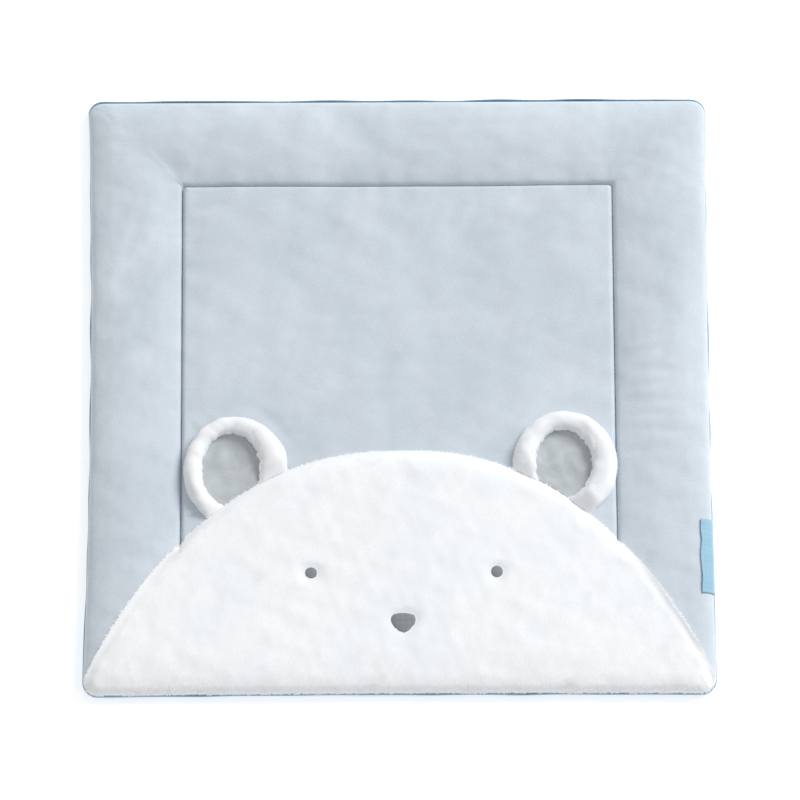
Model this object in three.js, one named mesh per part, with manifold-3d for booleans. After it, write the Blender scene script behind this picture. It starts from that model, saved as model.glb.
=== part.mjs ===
// A padded square play mat with a plush bear's head sewn across its front half.
// Millimetres, +Z up. The mat lies on its back cloth: the origin is the middle of its underside, +X is the
// mat's right, and +Y runs from the bear's chin to the far edge.
import * as THREE from "three";
import { mergeVertices } from "three/addons/utils/BufferGeometryUtils.js";
import Module from "manifold-3d";

const wasm = await Module();
wasm.setup();

// Driving dimensions of the mat
const MAT_SIDE = 1000; // rim to rim, both ways
const HALF = MAT_SIDE / 2;
const RIM_CORNER_RADIUS = 24;
const SEAM_CORNER_RADIUS = 5; // corners of the sewn square
const BORDER_WIDTH = 153; // rim to the sewn square
const SIDE_DRAW_IN = 4; // how far the stuffing pulls the middle of each side in
const DRAW_IN_POWER = 6; // the pull fades this steeply from the rim inwards
const SEAM_GAP = 0.4; // clearance between neighbouring pieces
const RIM_TOP = 13.2; // top of the turned-up back cloth
const SWELL_START = 9; // the stuffing swells from this far inside the rim
const SWELL_FULL = 65; // and swells fully from here inwards
const MIDDLE_LINES = 5; // grid lines across each half of the middle panel
const TALL = 200; // height of the prisms that only cut
const SAME_POINT = 1e-4; // points closer than this are one

// Driving dimensions of the bear's head
const FACE_X = 6; // the face sits a little right of the mat's middle
const HEAD_INSET = 0.8; // plush stops this far inside the rim
const HEAD_REACH = HALF - HEAD_INSET; // half the head's width at the front edge
const HEAD_RISE = 395; // front edge to the top of the head
const HEAD_FOOT = 12; // height of the head's outline at the mat's sides
const DOME_SPREAD = 2.3; // the outline is (1 - s^spread)^fall across the half width
const DOME_FALL = 0.87;
const HEAD_COLUMNS = 36;
const PLUSH_LIP = 4; // thickness of the plush at its sewn outline
const PLUSH_ROUNDING = 24; // the pile reaches its full height this far inside the outline

// Driving dimensions of the ears
const EARS = [
  { side: "left", x: -262, y: -132 },
  { side: "right", x: 262, y: -125 },
];
const EAR_ROLL_RADIUS = 65.5; // centre line of the roll
const EAR_ROLL_HALF_WIDTH = 16.5;
const EAR_ROLL_HALF_HEIGHT = 14;
const EAR_ROLL_LIFT = 9; // centre line of the roll above the cover
const EAR_LEGS = 1.14; // the lower half is this much longer, running down under the head
const EAR_ROLL_STEPS = 40;
const EAR_ROLL_SIDES = 12;
const EAR_UNEVEN = 0.16; // the roll is fuller on the side towards the mat's right
const LINING_THICKNESS = 2.5;

// Driving dimensions of the face
const EYES_X = 7.5; // half way between the eyes
const EYE_SPACING = 294;
const EYE_Y = -307;
const EYE_RADIUS = 9.7;
const EYE_SIDES = 20;
const NOSE_X = 6.5;
const NOSE_Y = -386.5; // where the nose is widest
const NOSE_HALF_WIDTH = 19.5;
const NOSE_ABOVE = 12; // widest line to the flat top
const NOSE_BELOW = 20.5; // widest line to the point
const NOSE_TOP_POWER = 3; // above its widest line the outline is |x|^p + |y|^p = 1, square-shouldered
const NOSE_POINT_POWER = 1.5; // the same below that line, drawn to a point
const NOSE_SIDES = 32;
const NOSE_EDGE = 1.2; // slope along the nose's edges
const FEATURE_SINK = 5.4; // depth of the eyes' and nose's backs below the top of the pile
const FEATURE_THICKNESS = 4;
const POCKET_GAP = 0.6; // clearance round the eyes and the nose

// Driving dimensions of the edge tab
const TAB_LENGTH = 121;
const TAB_Y = -277;
const TAB_REACH = 19.5; // how far the tab runs in from the rim
const TAB_THICKNESS = 1.4;

// Section of the filled pad, from the bulge at the rim to the middle of the mat: its height where the cover
// shows, and where the head hides it, which has no sewn channel.
const PAD_SECTION = [
  { inset: 3, open: 18, covered: 18 },
  { inset: SWELL_START, open: 27, covered: 26 },
  { inset: 24, open: 35, covered: 33 },
  { inset: SWELL_FULL, open: 40, covered: 37 },
  { inset: 110, open: 36, covered: 37.5 },
  { inset: 138, open: 27, covered: 37.5 },
  { inset: BORDER_WIDTH, open: 15, covered: 37.5 },
  { inset: 163, open: 23, covered: 37.5 },
  { inset: 186, open: 28, covered: 37 },
  { inset: 230, open: 28.5, covered: 36.5 },
  { inset: HALF, open: 27, covered: 36 },
];

// Side of the pad below its bulge, from the flat base up.
const PAD_SIDE = [
  { inset: 10, height: 2.4 },
  { inset: 4, height: 6.5 },
  { inset: 3, height: 12 },
];

// Section of the back cloth, from the flat underside out, up to the rim seam, and back in under the pad.
const BACKING_SECTION = [
  { inset: 8, height: 0 },
  { inset: 1.6, height: 2.4 },
  { inset: 0, height: 7 },
  { inset: 0.2, height: 11.5 },
  { inset: 1.2, height: RIM_TOP },
  { inset: 2.4, height: 12 },
  { inset: 3.4, height: 6 },
  { inset: 9.4, height: 1.9 },
];

// Section of the plush head, from the rim inwards.
const PLUSH_SECTION = [
  { inset: HEAD_INSET, height: 14.4 },
  { inset: 1.6, height: 21 },
  { inset: 4.5, height: 31 },
  { inset: 12, height: 38 },
  { inset: 30, height: 43 },
  { inset: SWELL_FULL, height: 46.5 },
  { inset: HALF, height: 46 },
];

// Rows of the head's grid, as shares of the way from the front edge to the outline.
const HEAD_ROWS = [0, 0.002, 0.01, 0.03, 0.075, 0.16, 0.3, 0.45, 0.6, 0.75, 0.87, 0.94, 0.98, 1];

// Slow swells of the stuffing: wavelength, heading of the swell, phase and height.
const SWELLS = [
  { wavelength: 520, heading: 0.5, phase: 0.4, height: 1.3 },
  { wavelength: 310, heading: 1.9, phase: 2.1, height: 0.9 },
  { wavelength: 230, heading: 2.8, phase: 4.0, height: 0.6 },
];

// Section of an eye, from the middle of its back to its domed top, in shares of its radius and thickness.
const EYE_SECTION = [
  { out: 0, up: 0 },
  { out: 1, up: 0 },
  { out: 1, up: 0.6 },
  { out: 0.75, up: 0.9 },
  { out: 0, up: 1 },
];

const { lerp, smoothstep } = THREE.MathUtils;

// Height in a section table at a given inset from the rim, straight between its rows.
function sectionAt(section, inset, column) {
  const next = section.findIndex((row) => row.inset >= inset);
  if (next === 0) return section[0][column];
  if (next < 0) return section.at(-1)[column];
  const [low, high] = [section[next - 1], section[next]];
  return lerp(low[column], high[column], (inset - low.inset) / (high.inset - low.inset));
}

const insetAt = (x, y) => HALF - Math.max(Math.abs(x), Math.abs(y));
const awayFromRim = (x, y) => smoothstep(insetAt(x, y), SWELL_START, SWELL_FULL);

// Plan of the mat: turns a point of the plain square into its place in the real outline, with the corner of
// its own ring rounded and the middle of each side drawn in.
function plan(x, y) {
  const ring = Math.max(Math.abs(x), Math.abs(y));
  const towardsSeam = Math.min((HALF - ring) / BORDER_WIDTH, 1);
  const radius = Math.min(lerp(RIM_CORNER_RADIUS, SEAM_CORNER_RADIUS, towardsSeam), ring);
  const straight = ring - radius;
  let [across, along] = [Math.abs(x), Math.abs(y)];
  const shorter = Math.min(across, along);
  if (radius > 0 && shorter > straight) {
    const turn = ((shorter - straight) / radius) * (Math.PI / 4);
    const near = straight + radius * Math.sin(turn);
    const far = straight + radius * Math.cos(turn);
    [across, along] = across < along ? [near, far] : [far, near];
  }
  const pull = (along01) => SIDE_DRAW_IN * (1 - Math.min(along01, 1) ** 2);
  const drawIn = (side, other) =>
    side - pull(other / (HALF - RIM_CORNER_RADIUS)) * (side / HALF) ** DRAW_IN_POWER;
  return new THREE.Vector2(
    Math.sign(x) * drawIn(across, along),
    Math.sign(y) * drawIn(along, across),
  );
}

// Height of the head's outline above the front edge, at a distance across the mat.
function domeHeight(x) {
  const halfWidth = HEAD_REACH - Math.sign(x - FACE_X) * FACE_X;
  const share = Math.min(Math.abs(x - FACE_X) / halfWidth, 1);
  return HEAD_FOOT + (HEAD_RISE - HEAD_FOOT) * (1 - share ** DOME_SPREAD) ** DOME_FALL;
}

// How far a point lies inside the head's outline, measured towards the far edge.
const insideHead = (x, y) => domeHeight(x) - HEAD_REACH - y;

// Slow swell of the stuffing, none at the rim.
function swell(x, y) {
  const height = SWELLS.reduce((sum, wave) => {
    const way = x * Math.cos(wave.heading) + y * Math.sin(wave.heading);
    return sum + wave.height * Math.cos((2 * Math.PI * way) / wave.wavelength + wave.phase);
  }, 0);
  return height * awayFromRim(x, y);
}

// Top of the filled pad: the open section, the smooth one under the head, and the stuffing's slow swells.
function padTop(x, y) {
  const inset = insetAt(x, y);
  const open = sectionAt(PAD_SECTION, inset, "open");
  const covered = sectionAt(PAD_SECTION, inset, "covered");
  return lerp(open, covered, smoothstep(insideHead(x, y), 0, PLUSH_ROUNDING)) + swell(x, y);
}

// Top of the plush: its own section inside, easing down to the sewn lip along its outline.
function plushTop(x, y) {
  const section = sectionAt(PLUSH_SECTION, insetAt(x, y), "height") + swell(x, y);
  const sewn = Math.min(section, padTop(x, y) + PLUSH_LIP);
  return lerp(sewn, section, smoothstep(insideHead(x, y), 0, PLUSH_ROUNDING));
}

// Grid lines of the pad, one for each row of its section on either side, with even lines across the middle.
function padLines() {
  const innermost = HALF - PAD_SECTION.at(-2).inset;
  const sides = PAD_SECTION.slice(0, -1).map((row) => HALF - row.inset);
  const middle = Array.from({ length: MIDDLE_LINES - 1 }, (_, i) => innermost * (1 - (i + 1) / MIDDLE_LINES));
  const half = [...sides, ...middle];
  return [...half.map((line) => -line), 0, ...half.reverse()];
}

const LINES = padLines();

// Points of the plain square's edge, anticlockwise from its front left corner, in half sides.
function squareEdge() {
  const share = LINES.slice(0, -1).map((line) => line / LINES.at(-1));
  return [
    ...share.map((s) => [s, -1]),
    ...share.map((s) => [1, s]),
    ...share.map((s) => [-s, 1]),
    ...share.map((s) => [-1, -s]),
  ];
}

// One ring round the mat at a given inset and height.
function ringAt({ inset, height }) {
  const half = HALF - inset;
  return squareEdge().map(([u, v]) => {
    const place = plan(u * half, v * half);
    return new THREE.Vector3(place.x, place.y, height);
  });
}

// Triangles between successive rings, each anticlockwise from above.
function loft(rings) {
  return rings.slice(1).flatMap((upper, k) =>
    upper.flatMap((point, i) => {
      const j = (i + 1) % upper.length;
      const lower = rings[k];
      return [lower[i], lower[j], upper[j], lower[i], upper[j], point];
    }),
  );
}

// Flat cap across a ring, facing up or down.
function cap(ring, facesUp) {
  const outline = ring.map((point) => new THREE.Vector2(point.x, point.y));
  return THREE.ShapeUtils.triangulateShape(outline, []).flatMap(([a, b, c]) =>
    facesUp ? [ring[a], ring[b], ring[c]] : [ring[a], ring[c], ring[b]],
  );
}

// Triangles of a grid of points, rows[j][i], facing up where i runs right and j runs back.
function gridFaces(rows) {
  return rows.slice(1).flatMap((back, j) =>
    back.slice(1).flatMap((point, i) => {
      const front = rows[j];
      return [front[i], front[i + 1], point, front[i], point, back[i]];
    }),
  );
}

// Points round the edge of a grid, anticlockwise from its first point.
const gridEdge = (rows) => [
  ...rows[0].slice(0, -1),
  ...rows.slice(0, -1).map((row) => row.at(-1)),
  ...rows.at(-1).slice(1).reverse(),
  ...rows.slice(1).reverse().map((row) => row[0]),
];

// A closed set of triangles as a solid that can be cut and joined.
function solidOf(geometry) {
  const bare = geometry.index ? geometry.toNonIndexed() : geometry.clone();
  bare.deleteAttribute("normal");
  bare.deleteAttribute("uv");
  const merged = mergeVertices(bare, SAME_POINT);
  return new wasm.Manifold(
    new wasm.Mesh({
      numProp: 3,
      vertProperties: merged.attributes.position.array,
      triVerts: new Uint32Array(merged.index.array),
    }),
  );
}

const solidFromPoints = (points) => solidOf(new THREE.BufferGeometry().setFromPoints(points));

// A solid's surface as three.js geometry.
function geometryOf(solid) {
  const mesh = solid.getMesh();
  const geometry = new THREE.BufferGeometry();
  geometry.setAttribute("position", new THREE.BufferAttribute(mesh.vertProperties, 3));
  geometry.setIndex(new THREE.BufferAttribute(mesh.triVerts, 1));
  geometry.computeVertexNormals();
  return geometry;
}

// The filled pad, grown on all sides by a clearance where it serves to cut its neighbours.
function padSolid(grow) {
  const rows = LINES.map((y) =>
    LINES.map((x) => {
      const place = plan(x, y);
      const scale = 1 + (grow * (1 - awayFromRim(x, y))) / HALF;
      return new THREE.Vector3(place.x * scale, place.y * scale, padTop(x, y) + grow);
    }),
  );
  const side = PAD_SIDE.map(({ inset, height }, i) =>
    ringAt({ inset: inset - grow, height: i === 0 ? height - grow : height }),
  );
  return solidFromPoints([...cap(side[0], false), ...loft([...side, gridEdge(rows)]), ...gridFaces(rows)]);
}

// The back cloth: a flat sheet whose edge turns up to the rim seam.
function backingSolid() {
  const rings = BACKING_SECTION.map(ringAt);
  return solidFromPoints([...cap(rings[0], false), ...loft(rings), ...cap(rings.at(-1), true)]);
}

// Places across the head, closer together towards the mat's sides.
function headColumns() {
  const quarterTurns = Array.from({ length: HEAD_COLUMNS + 1 }, (_, i) => (2 * i) / HEAD_COLUMNS - 1);
  return quarterTurns.map((turn) => HEAD_REACH * Math.sin((turn * Math.PI) / 2));
}

// The head's panel as a block down to the rim, which the pad then cuts from below.
function headBlock() {
  const top = HEAD_ROWS.map((share) =>
    headColumns().map((x) => {
      const y = share * domeHeight(x) - HEAD_REACH;
      const place = plan(x, y);
      return new THREE.Vector3(place.x, place.y, plushTop(x, y));
    }),
  );
  const bottom = top.map((row) => row.map((p) => new THREE.Vector3(p.x, p.y, RIM_TOP + SEAM_GAP)));
  const underside = gridFaces(bottom.map((row) => [...row].reverse()));
  return solidFromPoints([...gridFaces(top), ...loft([gridEdge(bottom), gridEdge(top)]), ...underside]);
}

// A tall prism over the head's outline, a clearance outside it.
function headPrism() {
  const dome = headColumns().map((x) => new THREE.Vector2(x, domeHeight(x) - HEAD_REACH + 2 * SEAM_GAP));
  const front = [new THREE.Vector2(-HEAD_REACH, -MAT_SIDE), new THREE.Vector2(HEAD_REACH, -MAT_SIDE)];
  const outline = new THREE.Shape([...front, ...dome.reverse()]);
  return solidOf(new THREE.ExtrudeGeometry(outline, { depth: TALL, bevelEnabled: false }));
}

// The stuffed roll of an ear as a whole ring, an uneven oval section carried round its centre line.
function earRing(centre, grow) {
  const ring = Array.from({ length: EAR_ROLL_STEPS }, (_, i) => {
    const angle = (2 * Math.PI * i) / EAR_ROLL_STEPS;
    const lengthening = angle > Math.PI ? EAR_LEGS : 1;
    const outwards = new THREE.Vector3(Math.cos(angle), Math.sin(angle) * lengthening, 0);
    const fullness = 1 + EAR_UNEVEN * Math.cos(angle) + (EAR_UNEVEN / 3) * Math.cos(3 * angle + 1);
    return Array.from({ length: EAR_ROLL_SIDES }, (_, k) => {
      const around = (-2 * Math.PI * k) / EAR_ROLL_SIDES;
      const width = (EAR_ROLL_HALF_WIDTH * fullness + grow) * Math.cos(around);
      const height = (EAR_ROLL_HALF_HEIGHT * Math.sqrt(fullness) + grow) * Math.sin(around);
      return centre
        .clone()
        .addScaledVector(outwards, EAR_ROLL_RADIUS + width)
        .add(new THREE.Vector3(0, 0, EAR_ROLL_LIFT + height));
    });
  });
  return solidFromPoints(loft([...ring, ring[0]]));
}

// The grey cloth inside an ear, cut from a disc that follows the pad.
function liningDisc(centre) {
  const radius = EAR_ROLL_RADIUS - EAR_ROLL_HALF_WIDTH / 2;
  const disc = new THREE.CylinderGeometry(radius, radius, TALL, EAR_ROLL_STEPS);
  disc.rotateX(Math.PI / 2).scale(1, EAR_LEGS, 1).translate(centre.x, centre.y, RIM_TOP + TALL / 2);
  return solidOf(disc);
}

// A round eye with a slightly domed top.
function eyeGeometry() {
  const profile = EYE_SECTION.map(
    ({ out, up }) => new THREE.Vector2(out * EYE_RADIUS, up * FEATURE_THICKNESS),
  );
  return new THREE.LatheGeometry(profile, EYE_SIDES).rotateX(Math.PI / 2);
}

// Outline of the nose, grown by a clearance: flat on top, round-shouldered and pointed towards the chin.
function noseShape(grow) {
  const bend = (value, power) => Math.sign(value) * Math.abs(value) ** (2 / power);
  const points = Array.from({ length: NOSE_SIDES }, (_, i) => {
    const angle = (2 * Math.PI * i) / NOSE_SIDES;
    const above = Math.sin(angle) > 0;
    const power = above ? NOSE_TOP_POWER : NOSE_POINT_POWER;
    const height = (above ? NOSE_ABOVE : NOSE_BELOW) + grow;
    const width = NOSE_HALF_WIDTH + grow;
    return new THREE.Vector2(width * bend(Math.cos(angle), power), height * bend(Math.sin(angle), power));
  });
  return new THREE.Shape(points);
}

// The nose with its edges sloped.
function noseGeometry() {
  return new THREE.ExtrudeGeometry(noseShape(-NOSE_EDGE), {
    depth: FEATURE_THICKNESS - 2 * NOSE_EDGE,
    bevelSize: NOSE_EDGE,
    bevelThickness: NOSE_EDGE,
    bevelSegments: 1,
  }).translate(0, 0, NOSE_EDGE);
}

// A box between two corners.
function boxSolid(low, high) {
  const size = high.clone().sub(low);
  const middle = low.clone().add(high).multiplyScalar(0.5);
  return solidOf(new THREE.BoxGeometry(size.x, size.y, size.z).translate(middle.x, middle.y, middle.z));
}

// Cloths: colour and roughness
const VELOUR = { color: "#c9d3dd", roughness: 0.95 };
const BACK_CLOTH = { color: "#9cc3e0", roughness: 0.9 };
const PLUSH = { color: "#f4f6f7", roughness: 1 };
const EAR_CLOTH = { color: "#b9c1c4", roughness: 0.9 };
const GREY_THREAD = { color: "#85898d", roughness: 0.7 };
const RIBBON = { color: "#a9d0e8", roughness: 0.6 };

// A named piece of the mat, with its own material.
function named(name, geometry, cloth) {
  const mesh = new THREE.Mesh(geometry, new THREE.MeshStandardMaterial({ ...cloth, metalness: 0 }));
  mesh.name = name;
  return mesh;
}

const mat = new THREE.Group();
const grownPad = padSolid(SEAM_GAP);
mat.add(named("pad", geometryOf(padSolid(0)), VELOUR));
mat.add(named("backing", geometryOf(backingSolid()), BACK_CLOTH));

// The face: each eye and the nose sits in its own pocket in the plush
const face = new THREE.Group();
let head = headBlock().subtract(grownPad);
for (const [name, side] of [["eye_left", -1], ["eye_right", 1]]) {
  const eye = named(name, eyeGeometry(), GREY_THREAD);
  const eyeX = EYES_X + (side * EYE_SPACING) / 2;
  const floor = plushTop(eyeX, EYE_Y) - FEATURE_SINK;
  eye.position.set(eyeX, EYE_Y, floor);
  const pocketRadius = EYE_RADIUS + POCKET_GAP;
  const pocket = new THREE.CylinderGeometry(pocketRadius, pocketRadius, TALL, EYE_SIDES);
  pocket.rotateX(Math.PI / 2).translate(eyeX, EYE_Y, floor - SEAM_GAP + TALL / 2);
  head = head.subtract(solidOf(pocket));
  face.add(eye);
}
const nose = named("nose", noseGeometry(), GREY_THREAD);
const noseFloor = plushTop(NOSE_X, NOSE_Y) - FEATURE_SINK;
nose.position.set(NOSE_X, NOSE_Y, noseFloor);
const nosePocket = new THREE.ExtrudeGeometry(noseShape(POCKET_GAP), { depth: TALL, bevelEnabled: false });
head = head.subtract(solidOf(nosePocket.translate(NOSE_X, NOSE_Y, noseFloor - SEAM_GAP)));
face.add(nose);
mat.add(named("head", geometryOf(head), PLUSH), face);

// The ears lie on the cover and stop at the head's outline
const underHead = headPrism();
const liningRoof = padSolid(SEAM_GAP + LINING_THICKNESS);
for (const { side, x, y } of EARS) {
  const centre = new THREE.Vector3(x, y, padTop(x, y));
  const roll = earRing(centre, 0).subtract(grownPad).subtract(underHead);
  const lining = liningDisc(centre)
    .intersect(liningRoof)
    .subtract(grownPad)
    .subtract(underHead)
    .subtract(earRing(centre, SEAM_GAP));
  mat.add(named(`ear_roll_${side}`, geometryOf(roll), PLUSH));
  mat.add(named(`ear_lining_${side}`, geometryOf(lining), EAR_CLOTH));
}

// The ribbon tab follows the edge of the cover, down to the rim seam
const tabBox = boxSolid(
  new THREE.Vector3(HALF - TAB_REACH, TAB_Y - TAB_LENGTH / 2, RIM_TOP + SEAM_GAP),
  new THREE.Vector3(MAT_SIDE, TAB_Y + TAB_LENGTH / 2, TALL),
);
const tab = padSolid(SEAM_GAP + TAB_THICKNESS).intersect(tabBox).subtract(grownPad);
mat.add(named("edge_tab", geometryOf(tab), RIBBON));

export default mat;
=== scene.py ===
"""A padded square play mat with a plush bear's head across its front, dressed as cloth and set in a studio.

Sizes are in millimetres in the mat's own frame: the origin is the middle of the underside, +X is the mat's
right, +Y runs from the bear's chin to the far edge and +Z is up. They become metres where a mesh is made.
"""

import logging
import math
from dataclasses import dataclass, field, fields, replace
from enum import Enum
from typing import Any, Callable, Sequence

import bpy
import numpy as np
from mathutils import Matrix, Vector

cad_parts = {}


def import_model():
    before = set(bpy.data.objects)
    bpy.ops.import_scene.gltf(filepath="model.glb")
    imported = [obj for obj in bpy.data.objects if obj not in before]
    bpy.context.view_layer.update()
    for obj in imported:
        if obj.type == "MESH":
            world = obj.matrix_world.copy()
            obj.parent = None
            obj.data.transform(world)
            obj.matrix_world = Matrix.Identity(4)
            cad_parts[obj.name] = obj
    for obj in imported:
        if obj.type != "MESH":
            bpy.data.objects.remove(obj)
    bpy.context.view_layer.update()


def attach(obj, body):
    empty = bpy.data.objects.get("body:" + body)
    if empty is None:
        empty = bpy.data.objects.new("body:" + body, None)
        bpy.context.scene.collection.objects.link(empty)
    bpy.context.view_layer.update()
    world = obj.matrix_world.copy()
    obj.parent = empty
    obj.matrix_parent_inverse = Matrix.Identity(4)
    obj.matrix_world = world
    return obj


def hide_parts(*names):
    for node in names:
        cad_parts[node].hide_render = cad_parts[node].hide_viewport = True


LOG = logging.getLogger("play_mat")
MM = 0.001
BODY = "root"
# Point attribute of plush: its share of painted light, 1 at a tuft's tip and lower at its root, where painted
# shade stands for fibres shading each other.
PILE_PAINTED_LIGHT = "strand_height"
# Painted light of the plush cloth under the pile: slightly shaded, like the roots.
SKIN_PAINTED_LIGHT = 0.85
WHITE = "#ffffff"
TINY = 1e-9
QUARTER_TURN = np.pi / 2.0
FULL_TURN = 2.0 * np.pi
MIX_SHARE, MIX_LOW, MIX_HIGH, MIX_RESULT = 0, 6, 7, 2  # a colour mix's sockets, by number
WAVE_BANDS = 20.0  # the wave texture's own factor from its scale to its phase
WAVE_SPREAD = (0.7, 1.5)  # shortest and longest waves of an unevenness, as shares of its wavelength
BORDER_INSETS = (0.6, 1.2, 2.8, 6.0, 12.0, 24.0, 42.0, 65.0, 90.0, 112.0, 132.0)
Array = np.ndarray
Socket = bpy.types.NodeSocket


class Side(Enum):
    """Left or right of the mat, seen from the bear's chin."""

    LEFT = -1
    RIGHT = 1

    @property
    def word(self) -> str:
        """The side's name in a piece name."""
        return self.name.lower()


class Slot(Enum):
    """The record's material slots."""

    VELOUR = "velour"
    BACK_CLOTH = "back_cloth"
    PLUSH = "plush"
    EAR_CLOTH = "ear_cloth"
    GREY_THREAD = "grey_thread"
    RIBBON = "ribbon"


class Hold(Enum):
    """How a sheet of cloth is held."""

    LAID = "laid"
    STRETCHED = "stretched"


# Shapes worked out on whole arrays


def smooth_step(value: Array, low: float, high: float) -> Array:
    """Rise from 0 at low to 1 at high, flat at both ends.

    Args:
        value: Where to read the rise.
        low: Where it starts.
        high: Where it ends.

    Returns:
        The rise, from 0 to 1.
    """
    share = np.clip((value - low) / (high - low), 0.0, 1.0)
    return share * share * (3.0 - 2.0 * share)


def section_curve(at: Array, knots: Sequence[float], heights: Sequence[float]) -> Array:
    """Smooth section through a table's rows, with no swing past any of them.

    Each stretch is a cubic. Its slope at a row is the harmonic mean of the straight slopes on either side, or
    zero where they turn, and at the first and last rows it is the straight slope itself.

    Args:
        at: Distances where the section is read.
        knots: Distances of the table's rows, rising.
        heights: Heights of the table's rows.

    Returns:
        Heights at the given distances.
    """
    knot = np.asarray(knots, dtype=float)
    height = np.asarray(heights, dtype=float)
    step = np.diff(knot)
    slope = np.diff(height) / step
    same_way = slope[:-1] * slope[1:] > 0.0
    total = np.where(same_way, slope[:-1] + slope[1:], 1.0)
    inner = np.where(same_way, 2.0 * slope[:-1] * slope[1:] / total, 0.0)
    tangent = np.concatenate([slope[:1], inner, slope[-1:]])
    row = np.clip(np.searchsorted(knot, at, side="right") - 1, 0, len(step) - 1)
    t = np.clip((at - knot[row]) / step[row], 0.0, 1.0)
    ends = (1.0 + 2.0 * t) * (1.0 - t) ** 2 * height[row] + t * t * (3.0 - 2.0 * t) * height[row + 1]
    bends = t * (1.0 - t) ** 2 * tangent[row] + t * t * (t - 1.0) * tangent[row + 1]
    return ends + step[row] * bends


def wave_noise(x: Array, y: Array, wavelength: float, seed: int, waves: int = 24) -> Array:
    """Soft unevenness: a sum of plane waves with seeded headings, phases and lengths near one wavelength.

    Args:
        x: Places across the mat.
        y: Places along the mat.
        wavelength: Middle wavelength.
        seed: Start of the seeded numbers.
        waves: How many waves are summed.

    Returns:
        Unevenness with a mean of zero and a spread of one.
    """
    numbers = np.random.default_rng(seed)
    heading = numbers.uniform(0.0, 2.0 * np.pi, waves)
    phase = numbers.uniform(0.0, 2.0 * np.pi, waves)
    rate = 2.0 * np.pi / (wavelength * numbers.uniform(*WAVE_SPREAD, waves))
    total = np.zeros(np.broadcast(x, y).shape)
    for turn, start, k in zip(heading, phase, rate):
        total += np.cos(k * (x * np.cos(turn) + y * np.sin(turn)) + start)
    return total / math.sqrt(waves / 2.0)


def nearest_lock(places: Array, size: float, seed: int) -> Array:
    """Way from each place to the nearest lock's middle, where every square cell holds one middle at random.

    Args:
        places: Places in plan, two numbers each.
        size: Side of a cell.
        seed: Start of the seeded numbers.

    Returns:
        The way to the nearest of the middles in a cell and its eight neighbours.
    """
    home = np.floor(places / size).astype(int)
    home -= home.min(axis=0) - 1
    corner = np.floor(places / size) * size
    drift = np.random.default_rng(seed).uniform(0.0, size, (*(home.max(axis=0) + 2), 2))
    steps = np.array([(i, j) for i in (-1, 0, 1) for j in (-1, 0, 1)])
    cells = home[:, None] + steps
    ways = corner[:, None] + steps * size + drift[cells[..., 0], cells[..., 1]] - places[:, None]
    nearest = np.argmin(np.sum(ways**2, axis=-1), axis=1)
    return ways[np.arange(len(places)), nearest]


def unit(vectors: Array) -> Array:
    """Vectors along the last axis, each made one long."""
    return vectors / np.maximum(np.linalg.norm(vectors, axis=-1, keepdims=True), TINY)


def grid_faces(rows: int, columns: int, start: int = 0, wrap: bool = False) -> Array:
    """Quads of a grid of points stored row by row, facing up where columns run right and rows run back.

    Args:
        rows: Rows of points.
        columns: Points in a row.
        start: Index of the first point.
        wrap: Whether the last column joins the first.

    Returns:
        Point indices, four to a face.
    """
    index = start + np.arange(rows * columns).reshape(rows, columns)
    if wrap:
        index = np.concatenate([index, index[:, :1]], axis=1)
    corners = [index[:-1, :-1], index[:-1, 1:], index[1:, 1:], index[1:, :-1]]
    return np.stack(corners, axis=-1).reshape(-1, 4)


def grid_edge(rows: int, columns: int) -> Array:
    """Indices round the edge of a grid of points, anticlockwise from its first point."""
    index = np.arange(rows * columns).reshape(rows, columns)
    return np.concatenate([index[0, :-1], index[:-1, -1], index[-1, :0:-1], index[:0:-1, 0]])


def loop_faces(lower: Array, upper: Array) -> Array:
    """Quads between two loops of point indices that run anticlockwise seen from above."""
    return np.stack([lower, np.roll(lower, -1), np.roll(upper, -1), upper], axis=-1)


def surface_normals(surface: Callable[[Array, Array], Array], u: Array, v: Array, step: float) -> Array:
    """Normals of a surface of two parameters, as the cross product of its two central differences.

    Args:
        surface: Gives points for the two parameters.
        u: First parameter.
        v: Second parameter.
        step: Half the difference taken in each.

    Returns:
        Unit normals.
    """
    along_u = surface(u + step, v) - surface(u - step, v)
    along_v = surface(u, v + step) - surface(u, v - step)
    return unit(np.cross(along_u, along_v))


# Meshes


def mesh_piece(name: str, points: Array, faces: list, material: bpy.types.Material) -> bpy.types.Object:
    """Smooth-shaded object from points and faces, at the origin.

    Args:
        name: Name of the object and its mesh.
        points: Points in millimetres.
        faces: Point indices of each face.
        material: Finish of the whole piece.

    Returns:
        The new object, linked to the scene.
    """
    mesh = bpy.data.meshes.new(name)
    mesh.from_pydata((points * MM).tolist(), [], faces)
    mesh.polygons.foreach_set("use_smooth", np.ones(len(mesh.polygons), dtype=bool))
    mesh.materials.append(material)
    mesh.update()
    piece = bpy.data.objects.new(name, mesh)
    bpy.context.scene.collection.objects.link(piece)
    return piece


def slab_piece(name: str, top: Array, bottom: Array, material: bpy.types.Material) -> bpy.types.Object:
    """Closed slab between two grids of points with the same rows and columns, walled along their edges.

    Args:
        name: Name of the object.
        top: Grid of points of the upper face.
        bottom: Grid of points of the lower face.
        material: Finish of the whole piece.

    Returns:
        The new object.
    """
    rows, columns = top.shape[:2]
    count = rows * columns
    edge = grid_edge(rows, columns)
    under = grid_faces(rows, columns, start=count)[:, ::-1]
    faces = np.concatenate([grid_faces(rows, columns), under, loop_faces(edge + count, edge)])
    points = np.concatenate([top.reshape(-1, 3), bottom.reshape(-1, 3)])
    return mesh_piece(name, points, faces.tolist(), material)


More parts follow.
